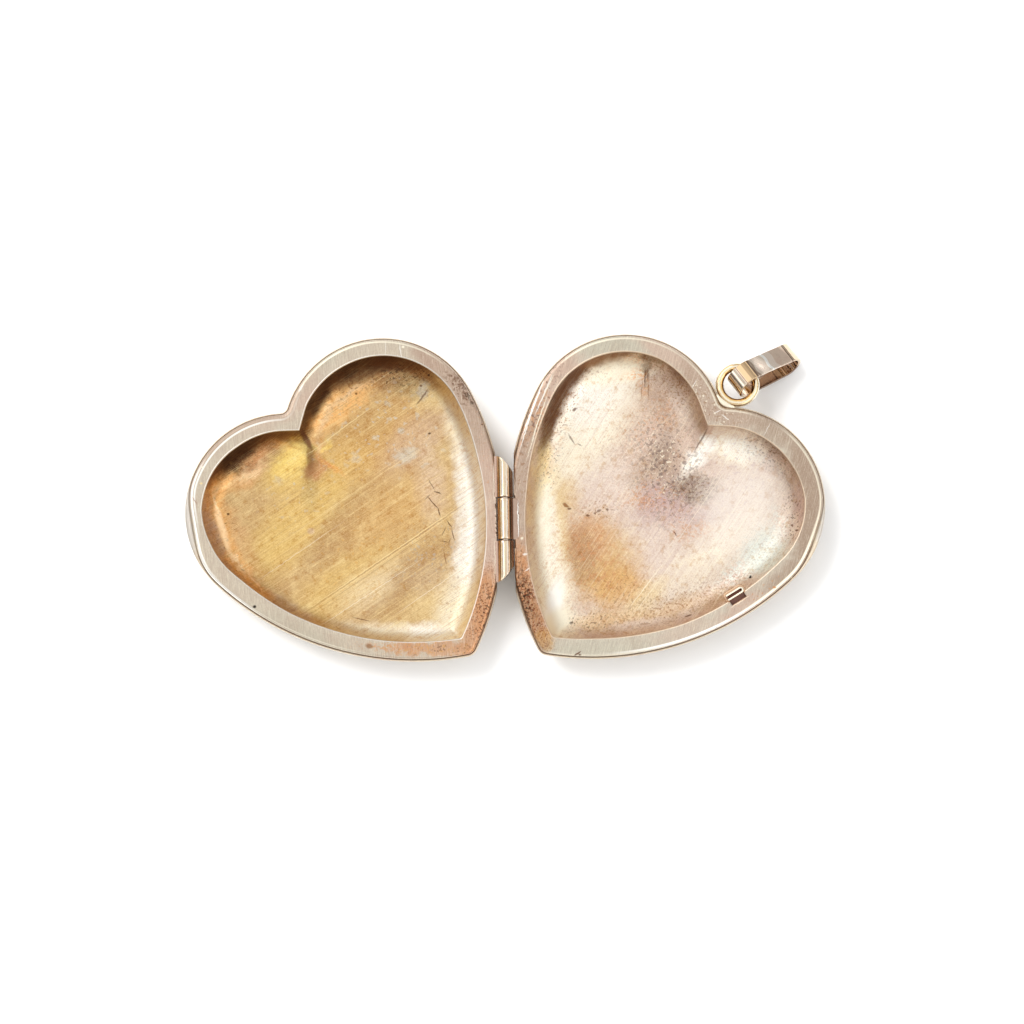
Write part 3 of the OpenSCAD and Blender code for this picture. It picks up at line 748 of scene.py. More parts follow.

# Charts of the tarnish, and of painted shade and painted highlights, in millimetres in plan and degrees. A
# mark is an ellipse with a colour, a strength, a softness of its edge, and the way its edge wanders ("even",
# "soft", "ragged" or
# "broken").
# Columns: x, y, half length, half width, turn, colour, strength, softness, edge
FRONT_DISH = [
    (-17.8, -1.0, 8.0, 2.2, 50, "yellow", 0.55, 0.6, "soft"),
    (-18.6, 3.2, 2.6, 1.5, 35, "yellow", 0.8, 0.6, "soft"),
    (-14.6, -2.2, 4.6, 1.5, 50, "brown", 0.30, 0.35, "soft"),
    (-11.5, 5.6, 4.4, 2.8, 30, "honey", 0.5, 0.7, "ragged"),
    (-7.8, 5.4, 3.6, 1.8, 45, "rose", 0.5, 0.5, "soft"),
    (-9.6, -0.6, 4.6, 2.2, 33, "honey", 0.35, 0.7, "ragged"),
    (-14.2, -7.2, 5.0, 2.0, 33, "yellow", 0.4, 0.6, "soft"),
    (-11.6, -7.4, 3.2, 1.5, 33, "cream", 0.35, 0.8, "soft"),
    (-11.8, 7.2, 2.8, 1.8, 30, "worn_gold", 0.5, 0.8, "soft"),
    (-7.4, -5.6, 3.4, 1.4, 38, "brown", 0.34, 0.4, "soft"),
    (-10.2, -8.8, 2.8, 0.9, 35, "brown", 0.28, 0.4, "soft"),
    (-5.6, -9.2, 2.6, 3.4, -20, "pale_gold", 0.6, 0.7, "soft"),
    # painted highlights: cream and white on the bottom wall and on the wall by the hinge side
    (-9.5, -11.6, 6.0, 0.9, -4, "cream", 0.75, 0.7, "soft"),
    (-3.6, 6.2, 1.3, 4.0, 14, "cream", 0.8, 0.6, "soft"),
    (-2.9, 1.2, 1.3, 4.6, 2, "white", 0.95, 0.5, "soft"),
    (-3.3, -4.4, 1.3, 4.4, -6, "white", 0.95, 0.5, "soft"),
    (-4.5, -9.6, 1.6, 2.8, -16, "cream", 0.9, 0.6, "soft"),
    (-6.0, 9.6, 1.6, 1.4, 40, "pale_gold", 0.6, 0.7, "soft"),
    # painted shade on the upper walls of the two lobes, over their brown tarnish, and paler pink on the lower
    # left walls
    (-24.0, 3.9, 3.8, 1.9, 42, "umber", 0.95, 0.5, "soft"),
    (-22.9, 5.0, 3.6, 1.7, 36, "dark", 1.0, 0.5, "soft"),
    (-19.8, 5.9, 2.8, 1.1, 6, "umber", 0.85, 0.5, "soft"),
    (-20.8, 4.6, 2.4, 0.8, 22, "brown", 0.6, 0.6, "ragged"),
    (-26.2, 2.4, 0.9, 1.6, -12, "umber", 0.85, 0.5, "soft"),
    (-25.9, -2.4, 1.2, 4.2, 12, "wall_light", 1.0, 0.5, "soft"),
    (-23.2, -7.0, 3.8, 1.2, -42, "wall_pink", 1.0, 0.5, "soft"),
    (-19.4, -9.6, 3.2, 0.9, -26, "rose", 0.85, 0.6, "soft"),
    (-23.2, -3.4, 0.9, 3.8, 24, "copper", 0.4, 0.7, "soft"),
    (-17.2, 7.4, 0.55, 2.6, -12, "dark", 0.95, 0.5, "soft"),
    (-17.2, 5.2, 0.5, 1.0, 20, "umber", 0.9, 0.6, "soft"),
    (-15.6, 10.0, 3.2, 1.6, 52, "dark", 1.0, 0.5, "soft"),
    (-12.8, 11.3, 3.0, 1.4, 24, "dark", 1.0, 0.5, "soft"),
    (-9.6, 11.8, 3.0, 1.1, -6, "umber", 1.0, 0.5, "soft"),
    (-7.2, 11.3, 1.8, 0.6, -38, "brown", 0.9, 0.6, "soft"),
    (-11.2, 10.6, 3.6, 0.9, 6, "brown", 0.8, 0.6, "ragged"),
    (-8.4, 10.2, 1.6, 1.0, -20, "olive", 0.5, 0.6, "ragged"),
    (-13.6, 9.6, 3.4, 0.9, 42, "brown", 0.7, 0.5, "soft"),
    # painted highlights and reflections where the ridges at the foot of the walls and by the cleft catch the
    # light, and painted shade in the cleft's crease
    (-21.8, 3.4, 2.0, 0.7, 56, "copper", 0.85, 0.8, "soft"),
    (-23.9, 1.9, 1.9, 0.7, 14, "amber", 0.9, 0.8, "soft"),
    (-25.0, 0.6, 1.2, 0.6, 60, "amber", 0.9, 0.8, "soft"),
    (-24.9, -0.9, 0.7, 2.4, 12, "amber", 0.9, 0.8, "soft"),
    (-24.2, -3.6, 0.65, 2.4, 20, "amber", 0.9, 0.8, "soft"),
    (-24.3, 1.7, 1.2, 0.24, 20, "light_amber", 0.8, 0.9, "soft"),
    (-25.1, -0.4, 0.18, 1.7, 12, "ridge", 1.0, 0.9, "soft"),
    (-24.6, -2.8, 0.18, 1.8, 14, "ridge", 1.0, 0.9, "soft"),
    (-22.9, -5.8, 0.5, 1.9, 32, "amber", 0.9, 0.8, "soft"),
    (-23.4, -5.2, 0.14, 1.5, 28, "ridge", 0.95, 0.9, "soft"),
    (-21.3, -7.6, 0.4, 1.5, 46, "amber", 0.8, 0.8, "soft"),
    (-21.9, -6.9, 0.12, 1.0, 40, "ridge", 0.8, 0.9, "soft"),
    (-14.0, 8.9, 3.0, 1.15, 36, "bright_amber", 0.95, 0.6, "soft"),
    (-15.5, 7.5, 1.5, 0.9, 52, "bright_amber", 0.95, 0.7, "soft"),
    (-16.1, 6.0, 0.55, 1.8, -4, "bright_amber", 0.95, 0.7, "soft"),
    (-13.8, 9.4, 2.0, 0.3, 34, "ridge", 0.8, 0.9, "soft"),
    (-15.8, 7.2, 1.3, 0.3, 62, "ridge", 0.8, 0.9, "soft"),
    (-16.2, 5.2, 0.2, 1.0, -6, "ridge", 0.8, 0.9, "soft"),
    (-15.6, 5.0, 0.55, 0.22, 50, "bright_yellow", 1.0, 0.8, "soft"),
    (-17.1, 3.6, 0.9, 0.5, -50, "brown", 0.85, 0.6, "soft"),
    (-17.6, 5.5, 0.9, 0.4, -48, "umber", 0.9, 0.6, "soft"),
    (-19.3, 5.0, 0.7, 0.25, -20, "orange", 0.5, 0.8, "soft"),
    (-18.4, 4.0, 1.7, 1.1, 36, "bright_yellow", 1.0, 0.7, "soft"),
    (-18.2, 4.3, 0.9, 0.5, 34, "lemon", 0.55, 0.9, "soft"),
    (-16.3, 3.8, 1.2, 0.5, -46, "brown", 0.6, 0.7, "soft"),
    (-15.2, 3.3, 1.2, 0.22, -32, "orange", 0.6, 0.9, "soft"),
    (-16.9, 2.7, 0.9, 0.6, 0, "brown", 0.8, 0.8, "soft"),
    (-17.0, 1.4, 0.7, 1.6, -8, "olive", 0.4, 0.8, "soft"),
    # silvery bloom and dirt near the hinge side, with painted highlights on the bottom wall and on a lobe's
    # ridge
    (-8.6, 4.1, 0.9, 0.55, 20, "silver", 0.75, 0.5, "ragged"),
    (-9.0, 6.3, 0.3, 0.28, 0, "silver", 0.8, 0.4, "even"),
    (-10.0, 8.6, 0.4, 0.28, 30, "grey", 0.6, 0.5, "ragged"),
    (-7.0, 9.7, 0.5, 0.7, 0, "grey", 0.7, 0.5, "ragged"),
    (-11.3, 5.7, 0.26, 0.2, 0, "silver", 0.6, 0.5, "even"),
    (-13.1, 3.9, 0.5, 0.3, 0, "silver", 0.45, 0.5, "ragged"),
    (-17.0, -2.4, 0.32, 0.28, 0, "rose", 0.6, 0.4, "even"),
    (-19.7, 2.1, 0.4, 0.4, 0, "silver", 0.4, 0.6, "ragged"),
    (-6.6, -6.6, 1.8, 1.2, 40, "taupe", 0.45, 0.7, "ragged"),
    (-6.4, 1.6, 1.2, 3.0, 4, "pink", 0.4, 0.7, "soft"),
    (-6.6, -11.7, 2.2, 0.9, -10, "white", 0.9, 0.6, "soft"),
    (-22.2, 2.7, 1.5, 0.55, 30, "ridge", 0.85, 0.6, "ragged"),
    (-20.8, -6.2, 2.6, 0.8, 128, "brown", 0.25, 0.7, "soft"),
    (-16.4, 2.9, 0.9, 0.6, 20, "copper", 0.7, 0.6, "ragged"),
    (-16.2, 5.6, 0.7, 0.6, 0, "worn_gold", 0.5, 0.7, "soft"),
    (-25.3, -3.6, 0.5, 1.8, 12, "taupe", 0.4, 0.6, "soft"),
    (-19.2, -9.4, 2.2, 0.5, -38, "taupe", 0.5, 0.6, "soft"),
]

# Columns: x, y, half length, half width, turn, colour, strength
FRONT_DISH_LINES = [
    # a painted highlight on a ridge, then painted shade in the cleft's crease with copper painted highlights
    # beside it
    (-24.7, -2.2, 1.9, 0.3, 107, "ridge", 0.6),
    (-17.3, 5.6, 1.0, 0.24, 120, "maroon", 0.7), (-17.0, 4.1, 1.2, 0.3, 92, "umber", 0.55),
    (-16.9, 3.0, 0.9, 0.45, 60, "brown", 0.5), (-15.6, 3.6, 1.1, 0.06, -45, "copper", 0.5),
    (-16.2, 3.7, 0.8, 0.05, -62, "copper", 0.6),
    # painted shade laid last over the upper walls
    (-23.1, 5.1, 3.4, 1.15, 38, "dark", 0.8), (-12.6, 11.5, 3.6, 0.95, 22, "dark", 0.72),
    (-16.5, 8.9, 2.6, 0.8, 60, "dark", 0.8), (-25.7, 2.9, 1.7, 0.7, 62, "umber", 0.75),
    (-19.6, 6.2, 2.2, 0.55, 6, "umber", 0.6), (-9.4, 12.1, 2.4, 0.6, -8, "umber", 0.65),
    (-10.3, -4.6, 8.6, 0.035, 33.5, "pale_gold", 0.8), (-10.7, -5.15, 8.8, 0.03, 33.5, "pale_gold", 0.75),
    (-10.5, -4.85, 8.8, 0.035, 33.5, "brown", 0.5), (-11.4, -5.9, 7.4, 0.025, 33.5, "brown", 0.4),
    (-14.6, 6.2, 3.2, 0.05, 36, "pale_gold", 0.75), (-16.0, -1.0, 6.0, 0.03, 33, "pale_gold", 0.5),
    (-12.8, 1.2, 6.4, 0.03, 33, "pale_gold", 0.45),
    (-12.0, -8.0, 5.4, 0.03, 33, "cream", 0.5), (-18.0, -4.2, 4.0, 0.03, 34, "cream", 0.4),
    (-8.3, 0.8, 4.6, 0.03, 32, "pale_gold", 0.5), (-6.4, -7.6, 3.6, 0.03, 34, "cream", 0.5),
    (-6.3, -0.1, 0.7, 0.045, -50, "umber", 0.9), (-5.8, -0.9, 0.4, 0.05, -74, "umber", 0.85),
    (-6.4, 1.5, 0.5, 0.04, -60, "umber", 0.6), (-5.9, 0.8, 0.3, 0.05, -20, "dark", 0.8),
    (-4.9, -2.0, 0.4, 0.045, -56, "umber", 0.8), (-4.6, -2.9, 0.5, 0.05, 104, "umber", 0.8),
    (-5.4, -2.6, 0.4, 0.04, 66, "umber", 0.7), (-5.3, -3.5, 0.3, 0.045, -10, "umber", 0.7),
    (-4.9, -3.5, 0.25, 0.04, 70, "umber", 0.6), (-6.8, 0.4, 0.3, 0.04, 40, "umber", 0.6),
    (-5.3, -4.9, 0.6, 0.05, 100, "brown", 0.7), (-7.1, 9.2, 0.8, 0.08, 52, "umber", 0.7),
    (-12.7, -10.2, 0.7, 0.05, -14, "umber", 0.7), (-24.2, -0.8, 0.09, 0.09, 0, "dark", 0.8),
    (-6.5, 11.0, 0.1, 0.1, 0, "dark", 0.8), (-6.5, 6.0, 0.12, 0.08, 20, "dark", 0.8),
    (-7.2, 10.2, 0.12, 0.1, 0, "umber", 0.8), (-12.9, 9.6, 0.1, 0.1, 0, "umber", 0.8),
]

BACK_DISH = [
    # painted highlights on the upper wall and the floor below the lobes
    (8.6, 7.4, 3.4, 4.6, -30, "cream", 0.9, 0.6, "soft"),
    (5.6, 3.2, 1.6, 4.6, -14, "cream", 0.8, 0.6, "soft"),
    (8.0, 9.4, 2.3, 3.6, -34, "white", 0.85, 0.8, "soft"),
    (13.8, 5.8, 3.2, 3.4, -10, "rose", 0.7, 0.7, "ragged"),
    (14.0, 9.4, 2.6, 1.8, -30, "taupe", 0.7, 0.6, "soft"),
    (15.2, 7.6, 2.6, 1.6, -60, "taupe", 0.55, 0.6, "soft"),
    (11.0, 1.8, 4.4, 2.6, 30, "pink", 0.9, 0.7, "ragged"),
    (12.0, 3.8, 1.6, 2.0, 20, "rose", 0.7, 0.6, "broken"),
    (13.4, 2.6, 2.6, 1.8, 40, "taupe", 0.8, 0.6, "ragged"),
    (15.9, -1.0, 4.2, 1.7, 8, "mauve", 0.95, 0.6, "ragged"),
    (13.4, 0.4, 2.2, 1.3, 30, "mauve", 0.7, 0.6, "ragged"),
    (16.5, -3.0, 1.4, 0.6, 10, "copper", 0.65, 0.6, "broken"),
    (12.0, -0.2, 1.6, 0.7, -10, "copper", 0.5, 0.6, "broken"),
    (16.6, 0.8, 2.1, 1.2, -8, "grey_brown", 1.0, 0.5, "ragged"),
    (16.6, 0.7, 0.8, 0.5, -10, "grey_brown", 0.9, 0.7, "ragged"),
    (18.0, 0.8, 1.2, 0.8, 20, "grey_brown", 0.95, 0.5, "ragged"),
    (14.8, 1.4, 1.6, 0.9, 30, "taupe", 0.6, 0.5, "broken"),
    (13.9, 4.0, 0.9, 2.0, -6, "grey_brown", 0.45, 0.6, "ragged"),
    (14.1, 7.0, 0.9, 0.9, 0, "copper", 0.4, 0.7, "broken"),
    (20.4, 0.6, 3.4, 3.0, 20, "pink", 0.85, 0.7, "soft"),
    (22.6, -1.8, 2.6, 2.8, 20, "pink", 0.8, 0.7, "soft"),
    (17.6, -5.6, 5.6, 1.8, 42, "cream", 0.5, 0.7, "soft"),
    (12.6, -4.8, 3.6, 2.0, 50, "pink", 0.6, 0.7, "soft"),
    # painted highlights: a bright streak from the cleft
    (19.9, 4.2, 2.2, 1.1, -10, "cream", 1.0, 0.6, "soft"),
    (17.0, 3.7, 2.3, 0.6, 48, "white", 1.0, 0.6, "soft"),
    (17.3, 4.3, 1.0, 0.28, 62, "white", 1.0, 0.8, "soft"),
    # gold stain near the hinge side, and painted highlights on the wall beside it
    (8.2, -5.6, 3.2, 4.2, 30, "gold", 0.8, 0.5, "ragged"),
    (7.2, -3.6, 1.9, 1.8, 0, "copper", 0.55, 0.5, "ragged"),
    (9.6, -7.6, 2.4, 1.8, -20, "honey", 0.6, 0.6, "ragged"),
    (6.6, -4.9, 1.3, 2.4, 4, "brown", 0.45, 0.6, "ragged"),
    (9.0, -10.8, 4.6, 0.9, 2, "gold", 0.6, 0.6, "ragged"),
    (14.2, -9.8, 3.4, 0.8, 20, "worn_gold", 0.6, 0.6, "ragged"),
    (12.2, -8.6, 2.0, 1.0, 40, "pale_gold", 0.6, 0.6, "ragged"),
    (18.8, -8.8, 2.4, 0.6, 30, "worn_gold", 0.6, 0.6, "ragged"),
    (3.7, -1.4, 1.5, 4.8, 4, "pale_gold", 0.95, 0.5, "soft"),
    (4.1, -8.0, 1.6, 4.2, 12, "cream", 1.0, 0.6, "soft"),
    (3.7, -1.8, 0.9, 4.4, 4, "white", 0.7, 0.7, "soft"),
    (5.4, 0.2, 1.0, 1.6, 0, "gold", 0.5, 0.6, "ragged"),
    # painted shade on the thin upper walls, painted highlights on the lit walls, and stains that start at the
    # rim
    (9.6, 10.9, 3.4, 0.9, 6, "cream", 0.8, 0.6, "soft"),
    (12.8, 12.2, 2.6, 0.5, -14, "olive", 0.7, 0.5, "ragged"),
    (8.6, 12.1, 2.2, 0.4, 20, "olive", 0.6, 0.5, "soft"),
    (11.3, 11.4, 1.3, 0.8, 0, "orange", 0.95, 0.5, "broken"),
    (12.3, 10.4, 0.5, 1.3, 4, "copper", 0.7, 0.6, "broken"),
    (12.5, 11.5, 0.3, 1.2, 4, "umber", 0.95, 0.6, "ragged"),
    (15.9, 10.0, 2.2, 0.5, -50, "umber", 0.6, 0.6, "ragged"),
    (16.9, 7.7, 0.5, 1.8, 16, "olive", 0.6, 0.6, "soft"),
    (23.4, 4.6, 2.6, 0.8, -38, "umber", 0.75, 0.7, "ragged"),
    (21.8, 5.6, 1.6, 0.35, -20, "umber", 0.6, 0.6, "soft"),
    (25.2, 2.6, 0.5, 1.4, 20, "brown", 0.6, 0.6, "ragged"),
    (25.6, -0.8, 0.5, 1.8, -4, "mauve", 0.6, 0.6, "ragged"),
    (24.4, 0.2, 1.1, 3.2, -4, "taupe", 0.5, 0.7, "soft"),
    (3.9, 6.4, 2.4, 0.55, 74, "umber", 0.95, 0.6, "soft"),
    (5.0, 9.3, 2.4, 0.8, 64, "umber", 1.0, 0.6, "soft"),
    (6.7, 11.3, 1.7, 0.65, 44, "umber", 0.95, 0.6, "soft"),
    (9.4, 12.3, 2.4, 0.35, 8, "umber", 0.8, 0.6, "soft"),
    (3.3, 2.4, 3.0, 0.6, 82, "pale_gold", 0.95, 0.6, "soft"),
    (11.8, -11.3, 2.8, 0.7, 8, "pink", 0.75, 0.6, "soft"),
    (10.2, 11.5, 2.2, 0.6, 4, "cream", 0.9, 0.6, "soft"),
    (16.2, 8.2, 1.5, 1.6, 0, "pink", 0.6, 0.7, "ragged"),
    (20.6, 4.4, 2.4, 1.2, -12, "white", 0.7, 0.6, "soft"),
    # pale green bloom by the catch
    (22.5, -4.9, 2.2, 1.7, 46, "green_white", 0.95, 0.5, "ragged"),
    (20.6, -6.4, 2.2, 1.0, 30, "green_white", 0.8, 0.5, "broken"),
    (24.0, -2.4, 1.0, 1.4, 10, "green_white", 0.5, 0.6, "broken"),
]

# Columns of the charts of spots: x, y, half length, half width, turn, colour, strength, size of a spot, share
FRONT_DISH_SPOTS = [
    (-11.0, 6.5, 4.0, 3.0, 30, "silver", 0.6, 0.45, 0.3), (-8.0, 6.0, 3.0, 3.4, 20, "silver", 0.5, 0.7, 0.2),
    (-18.0, 1.0, 3.0, 2.4, 40, "silver", 0.45, 0.5, 0.25),
    (-24.6, -3.2, 1.4, 5.0, 16, "umber", 0.5, 0.28, 0.2),
    (-13.5, 10.6, 3.4, 1.6, 30, "brown", 0.6, 0.3, 0.5), (-9.0, 11.2, 3.0, 1.0, 0, "black", 0.6, 0.3, 0.5),
    (-23.2, 4.6, 3.0, 1.5, 40, "black", 0.5, 0.3, 0.4), (-6.4, -4.4, 3.0, 2.0, 40, "grey", 0.5, 0.3, 0.35),
    (-12.0, -4.0, 6.0, 4.0, 33, "honey", 0.4, 0.4, 0.3), (-5.0, -8.0, 1.6, 4.0, -10, "brown", 0.4, 0.25, 0.2),
]

BACK_DISH_SPOTS = [
    (5.0, 8.0, 1.2, 4.2, -28, "brown", 0.75, 0.16, 0.5), (4.0, 3.6, 0.8, 3.4, -12, "umber", 0.6, 0.22, 0.4),
    (9.6, 11.9, 4.6, 0.8, 8, "brown", 0.5, 0.2, 0.5), (14.8, 9.8, 3.0, 1.4, -44, "brown", 0.6, 0.2, 0.55),
    (23.6, 3.8, 3.0, 1.2, -40, "umber", 0.6, 0.2, 0.5), (25.0, -2.0, 0.9, 2.6, 0, "umber", 0.7, 0.22, 0.4),
    (14.2, 2.6, 2.4, 4.2, 10, "grey_brown", 0.8, 0.28, 0.55),
    (14.0, 3.2, 1.6, 3.6, 6, "cream", 0.8, 0.24, 0.28),
    (16.4, 0.9, 2.0, 1.2, 0, "umber", 0.6, 0.24, 0.5), (12.4, 6.6, 3.2, 1.4, 30, "copper", 0.5, 0.24, 0.4),
    (12.6, 0.4, 2.6, 1.4, 0, "copper", 0.55, 0.26, 0.45), (16.2, -2.8, 2.0, 1.0, 0, "copper", 0.6, 0.24, 0.5),
    (8.3, -1.0, 1.8, 1.0, 10, "brown", 0.7, 0.2, 0.4), (7.6, -5.4, 3.0, 4.2, 30, "copper", 0.5, 0.3, 0.5),
    (9.6, -8.6, 3.4, 2.2, 0, "brown", 0.5, 0.22, 0.42), (14.6, -9.4, 5.0, 1.3, 18, "brown", 0.6, 0.2, 0.55),
    (6.8, -10.8, 2.8, 0.8, 0, "umber", 0.6, 0.2, 0.45), (19.4, -8.0, 2.6, 0.9, 34, "brown", 0.5, 0.2, 0.5),
    (22.6, -4.6, 2.0, 1.8, 40, "grey", 0.6, 0.2, 0.45), (20.4, 2.0, 4.0, 3.0, 40, "mauve", 0.4, 0.3, 0.35),
    (4.4, -3.6, 1.0, 5.6, 4, "gold", 0.35, 0.24, 0.4), (10.4, 4.4, 2.6, 3.0, 0, "taupe", 0.4, 0.26, 0.4),
]

FRONT_RIM_SPOTS = [
    (-1.8, -10.2, 0.9, 2.4, -14, "black", 0.85, 0.2, 0.5),
    (-2.2, -9.6, 1.4, 4.0, -12, "red_brown", 0.6, 0.15, 0.5),
    (-7.0, -13.0, 5.0, 0.7, -3, "honey", 0.5, 0.18, 0.5), (-3.9, 9.6, 1.6, 0.8, -56, "umber", 0.7, 0.26, 0.5),
    (-5.0, -13.2, 3.6, 0.4, 0, "umber", 0.6, 0.22, 0.35), (-1.4, 4.0, 0.8, 5.0, 6, "copper", 0.5, 0.24, 0.35),
]

BACK_RIM_SPOTS = [
    (1.5, -9.0, 0.8, 2.8, 12, "black", 0.9, 0.22, 0.55),
    (2.0, -10.0, 1.4, 4.0, 14, "red_brown", 0.8, 0.15, 0.55),
    (1.3, -5.6, 0.9, 2.0, 0, "umber", 0.6, 0.24, 0.4), (3.0, 8.0, 1.0, 4.0, -24, "maroon", 0.6, 0.3, 0.45),
    (1.9, 3.6, 0.8, 3.6, -12, "brown", 0.5, 0.3, 0.4), (17.6, 7.8, 3.0, 1.6, -40, "brown", 0.5, 0.26, 0.45),
    (22.0, -9.2, 4.0, 1.0, 34, "copper", 0.5, 0.26, 0.35), (18.0, 7.6, 3.4, 1.4, -40, "cream", 0.7, 0.2, 0.3),
]

BACK_DISH_LINES = [
    # painted shade on the upper walls, then a painted highlight on the lower left wall
    (4.1, 7.0, 2.8, 0.5, 73, "umber", 0.6), (6.0, 10.6, 2.2, 0.5, 52, "umber", 0.65),
    (8.8, 12.1, 2.4, 0.4, 12, "brown", 0.6),
    (4.1, -9.4, 2.6, 0.8, 78, "white", 0.85),
    (21.3, -7.1, 0.12, 0.11, 0, "black", 0.95), (14.8, -3.1, 0.25, 0.05, -60, "umber", 0.8),
    (5.3, -0.5, 0.3, 0.14, -30, "brown", 0.9), (5.6, -0.8, 0.16, 0.1, 0, "umber", 0.8),
    (7.2, -1.4, 0.14, 0.1, 0, "umber", 0.8), (8.2, -1.0, 0.2, 0.1, 20, "umber", 0.7),
    (8.9, -0.9, 0.12, 0.1, 0, "umber", 0.7), (7.8, -1.2, 0.1, 0.08, 0, "umber", 0.7),
    (6.2, 7.9, 0.2, 0.12, 40, "umber", 0.8), (5.9, 5.3, 0.5, 0.08, -60, "umber", 0.6),
    (5.0, 7.5, 0.14, 0.1, 0, "umber", 0.7), (6.6, 4.8, 0.2, 0.06, -30, "umber", 0.5),
    (25.0, -2.6, 0.1, 0.1, 0, "umber", 0.8), (25.4, -3.1, 0.12, 0.09, 0, "umber", 0.8),
    (12.4, 10.6, 0.7, 0.06, 86, "umber", 0.8), (12.7, 9.4, 0.9, 0.04, 88, "brown", 0.6),
    (12.1, 9.6, 0.8, 0.04, 84, "brown", 0.6), (5.6, -10.8, 0.16, 0.1, 0, "dark", 0.8),
    (15.8, -10.4, 0.3, 0.07, 20, "umber", 0.8), (17.2, 5.0, 1.0, 0.07, 58, "umber", 0.7),
    (12.4, -7.4, 2.6, 0.04, 52, "cream", 0.6), (12.8, -7.9, 2.8, 0.03, 52, "cream", 0.5),
    (19.0, 2.6, 4.4, 0.03, 57, "cream", 0.4), (16.8, -1.2, 4.6, 0.03, 55, "cream", 0.45),
    (19.4, -2.0, 4.0, 0.03, 56, "cream", 0.35), (14.2, -1.6, 4.4, 0.03, 54, "mauve", 0.5),
    # painted highlights on the walls
    (10.2, 11.5, 1.8, 0.7, 4, "cream", 0.6), (4.4, -10.7, 1.3, 0.9, 60, "cream", 0.85),
    (20.4, -1.2, 4.4, 3.0, 42, "white", 0.3),
    (3.3, -1.4, 3.4, 0.7, 88, "cream", 0.5),
]

FRONT_RIM = [
    (-4.8, 10.2, 4.4, 1.3, -50, "taupe", 0.9, 0.35, "soft"),
    (-2.0, 5.6, 1.2, 4.4, 14, "taupe", 0.85, 0.4, "soft"),
    (-1.6, 0.4, 1.0, 4.2, 2, "rose", 0.8, 0.5, "soft"),
    (-1.4, -5.4, 1.1, 3.6, -2, "rose", 0.9, 0.5, "soft"),
    (-2.0, -9.2, 1.3, 3.0, -14, "copper", 0.95, 0.45, "ragged"),
    (-2.6, -12.2, 1.4, 1.6, -20, "copper", 0.8, 0.5, "ragged"),
    (-5.8, -13.1, 4.2, 0.6, -2, "copper", 0.7, 0.35, "ragged"),
    (-9.8, -12.9, 2.4, 0.35, -6, "copper", 0.7, 0.35, "broken"),
    (-19.4, 7.8, 4.0, 0.9, 24, "rose", 0.45, 0.6, "soft"),
    (-17.2, 10.0, 0.9, 2.2, -24, "rose", 0.35, 0.6, "soft"),
    (-16.0, 12.6, 3.0, 0.8, 34, "green_grey", 0.35, 0.7, "soft"),
    (-19.0, -11.6, 6.4, 1.2, -24, "green_grey", 0.3, 0.7, "soft"),
    (-3.9, 10.0, 1.3, 0.35, -56, "umber", 0.8, 0.5, "broken"),
    (-3.0, 8.9, 0.9, 0.22, -62, "dark", 0.8, 0.5, "broken"),
    (-6.2, 11.9, 1.0, 0.4, -30, "taupe", 0.7, 0.5, "ragged"),
]

# Painted highlights and painted shade in bands along the rim's outer shoulder. Columns: x, y, half length,
# half width, turn of the region that has the band, then the band's nearest and farthest distance from the
# plate's side, its colour and its strength
FRONT_RIM_SHOULDER_LIGHT = [
    (-24.8, 4.6, 7.5, 3.6, 52, 0.0, 0.32, "warm_taupe", 0.75),
    (-24.8, 4.6, 7.5, 3.6, 52, 0.36, 0.52, "white", 0.95),
    (-27.0, -2.0, 2.0, 5.0, 4, 0.1, 0.3, "white", 0.85),
    (-25.4, -7.8, 4.4, 2.4, -52, 0.02, 0.2, "white", 0.95),
    (-18.0, -12.2, 6.0, 1.6, -24, 0.1, 0.22, "cream", 0.6),
    (-12.0, 12.8, 9.0, 2.2, 10, 0.14, 0.3, "cream", 0.7),
]
BACK_RIM_SHOULDER_LIGHT = [
    (24.6, -7.6, 5.4, 2.8, 52, 0.1, 0.34, "cream", 0.95),
    (16.2, -12.2, 6.0, 1.8, 18, 0.06, 0.3, "white", 0.85),
    (26.4, 2.0, 2.2, 5.0, 8, 0.12, 0.3, "cream", 0.7), (7.4, -13.8, 5.0, 1.4, 0, 0.04, 0.16, "cream", 0.6),
    (9.6, 13.2, 6.0, 1.8, 0, 0.14, 0.3, "cream", 0.7), (18.6, 9.0, 4.4, 2.0, -56, 0.14, 0.3, "cream", 0.6),
]

FRONT_RIM_LINES = [
    # painted highlights: the two cream lines along the hinge side
    (-0.95, 1.8, 1.7, 0.035, 90, "cream", 0.6), (-0.95, -5.5, 1.7, 0.035, 90, "cream", 0.6),
    (-21.9, -9.2, 0.14, 0.12, 0, "black", 0.95), (-26.4, 1.6, 0.12, 0.09, 0, "pale_gold", 0.9),
    (-26.3, 3.0, 0.1, 0.08, 0, "cream", 0.9), (-8.7, 13.3, 0.12, 0.1, 0, "cream", 0.9),
    (-27.0, 0.1, 0.35, 0.05, -60, "pink_brown", 0.7), (-12.0, -12.8, 0.3, 0.2, -10, "brown", 0.8),
    (-8.9, 12.9, 0.05, 0.7, 8, "white", 0.5), (-10.2, 13.2, 0.04, 0.6, 2, "white", 0.4),
    (-17.6, 9.8, 0.4, 0.09, 60, "white", 0.5), (-1.9, 6.4, 0.1, 0.06, 0, "umber", 0.8),
]

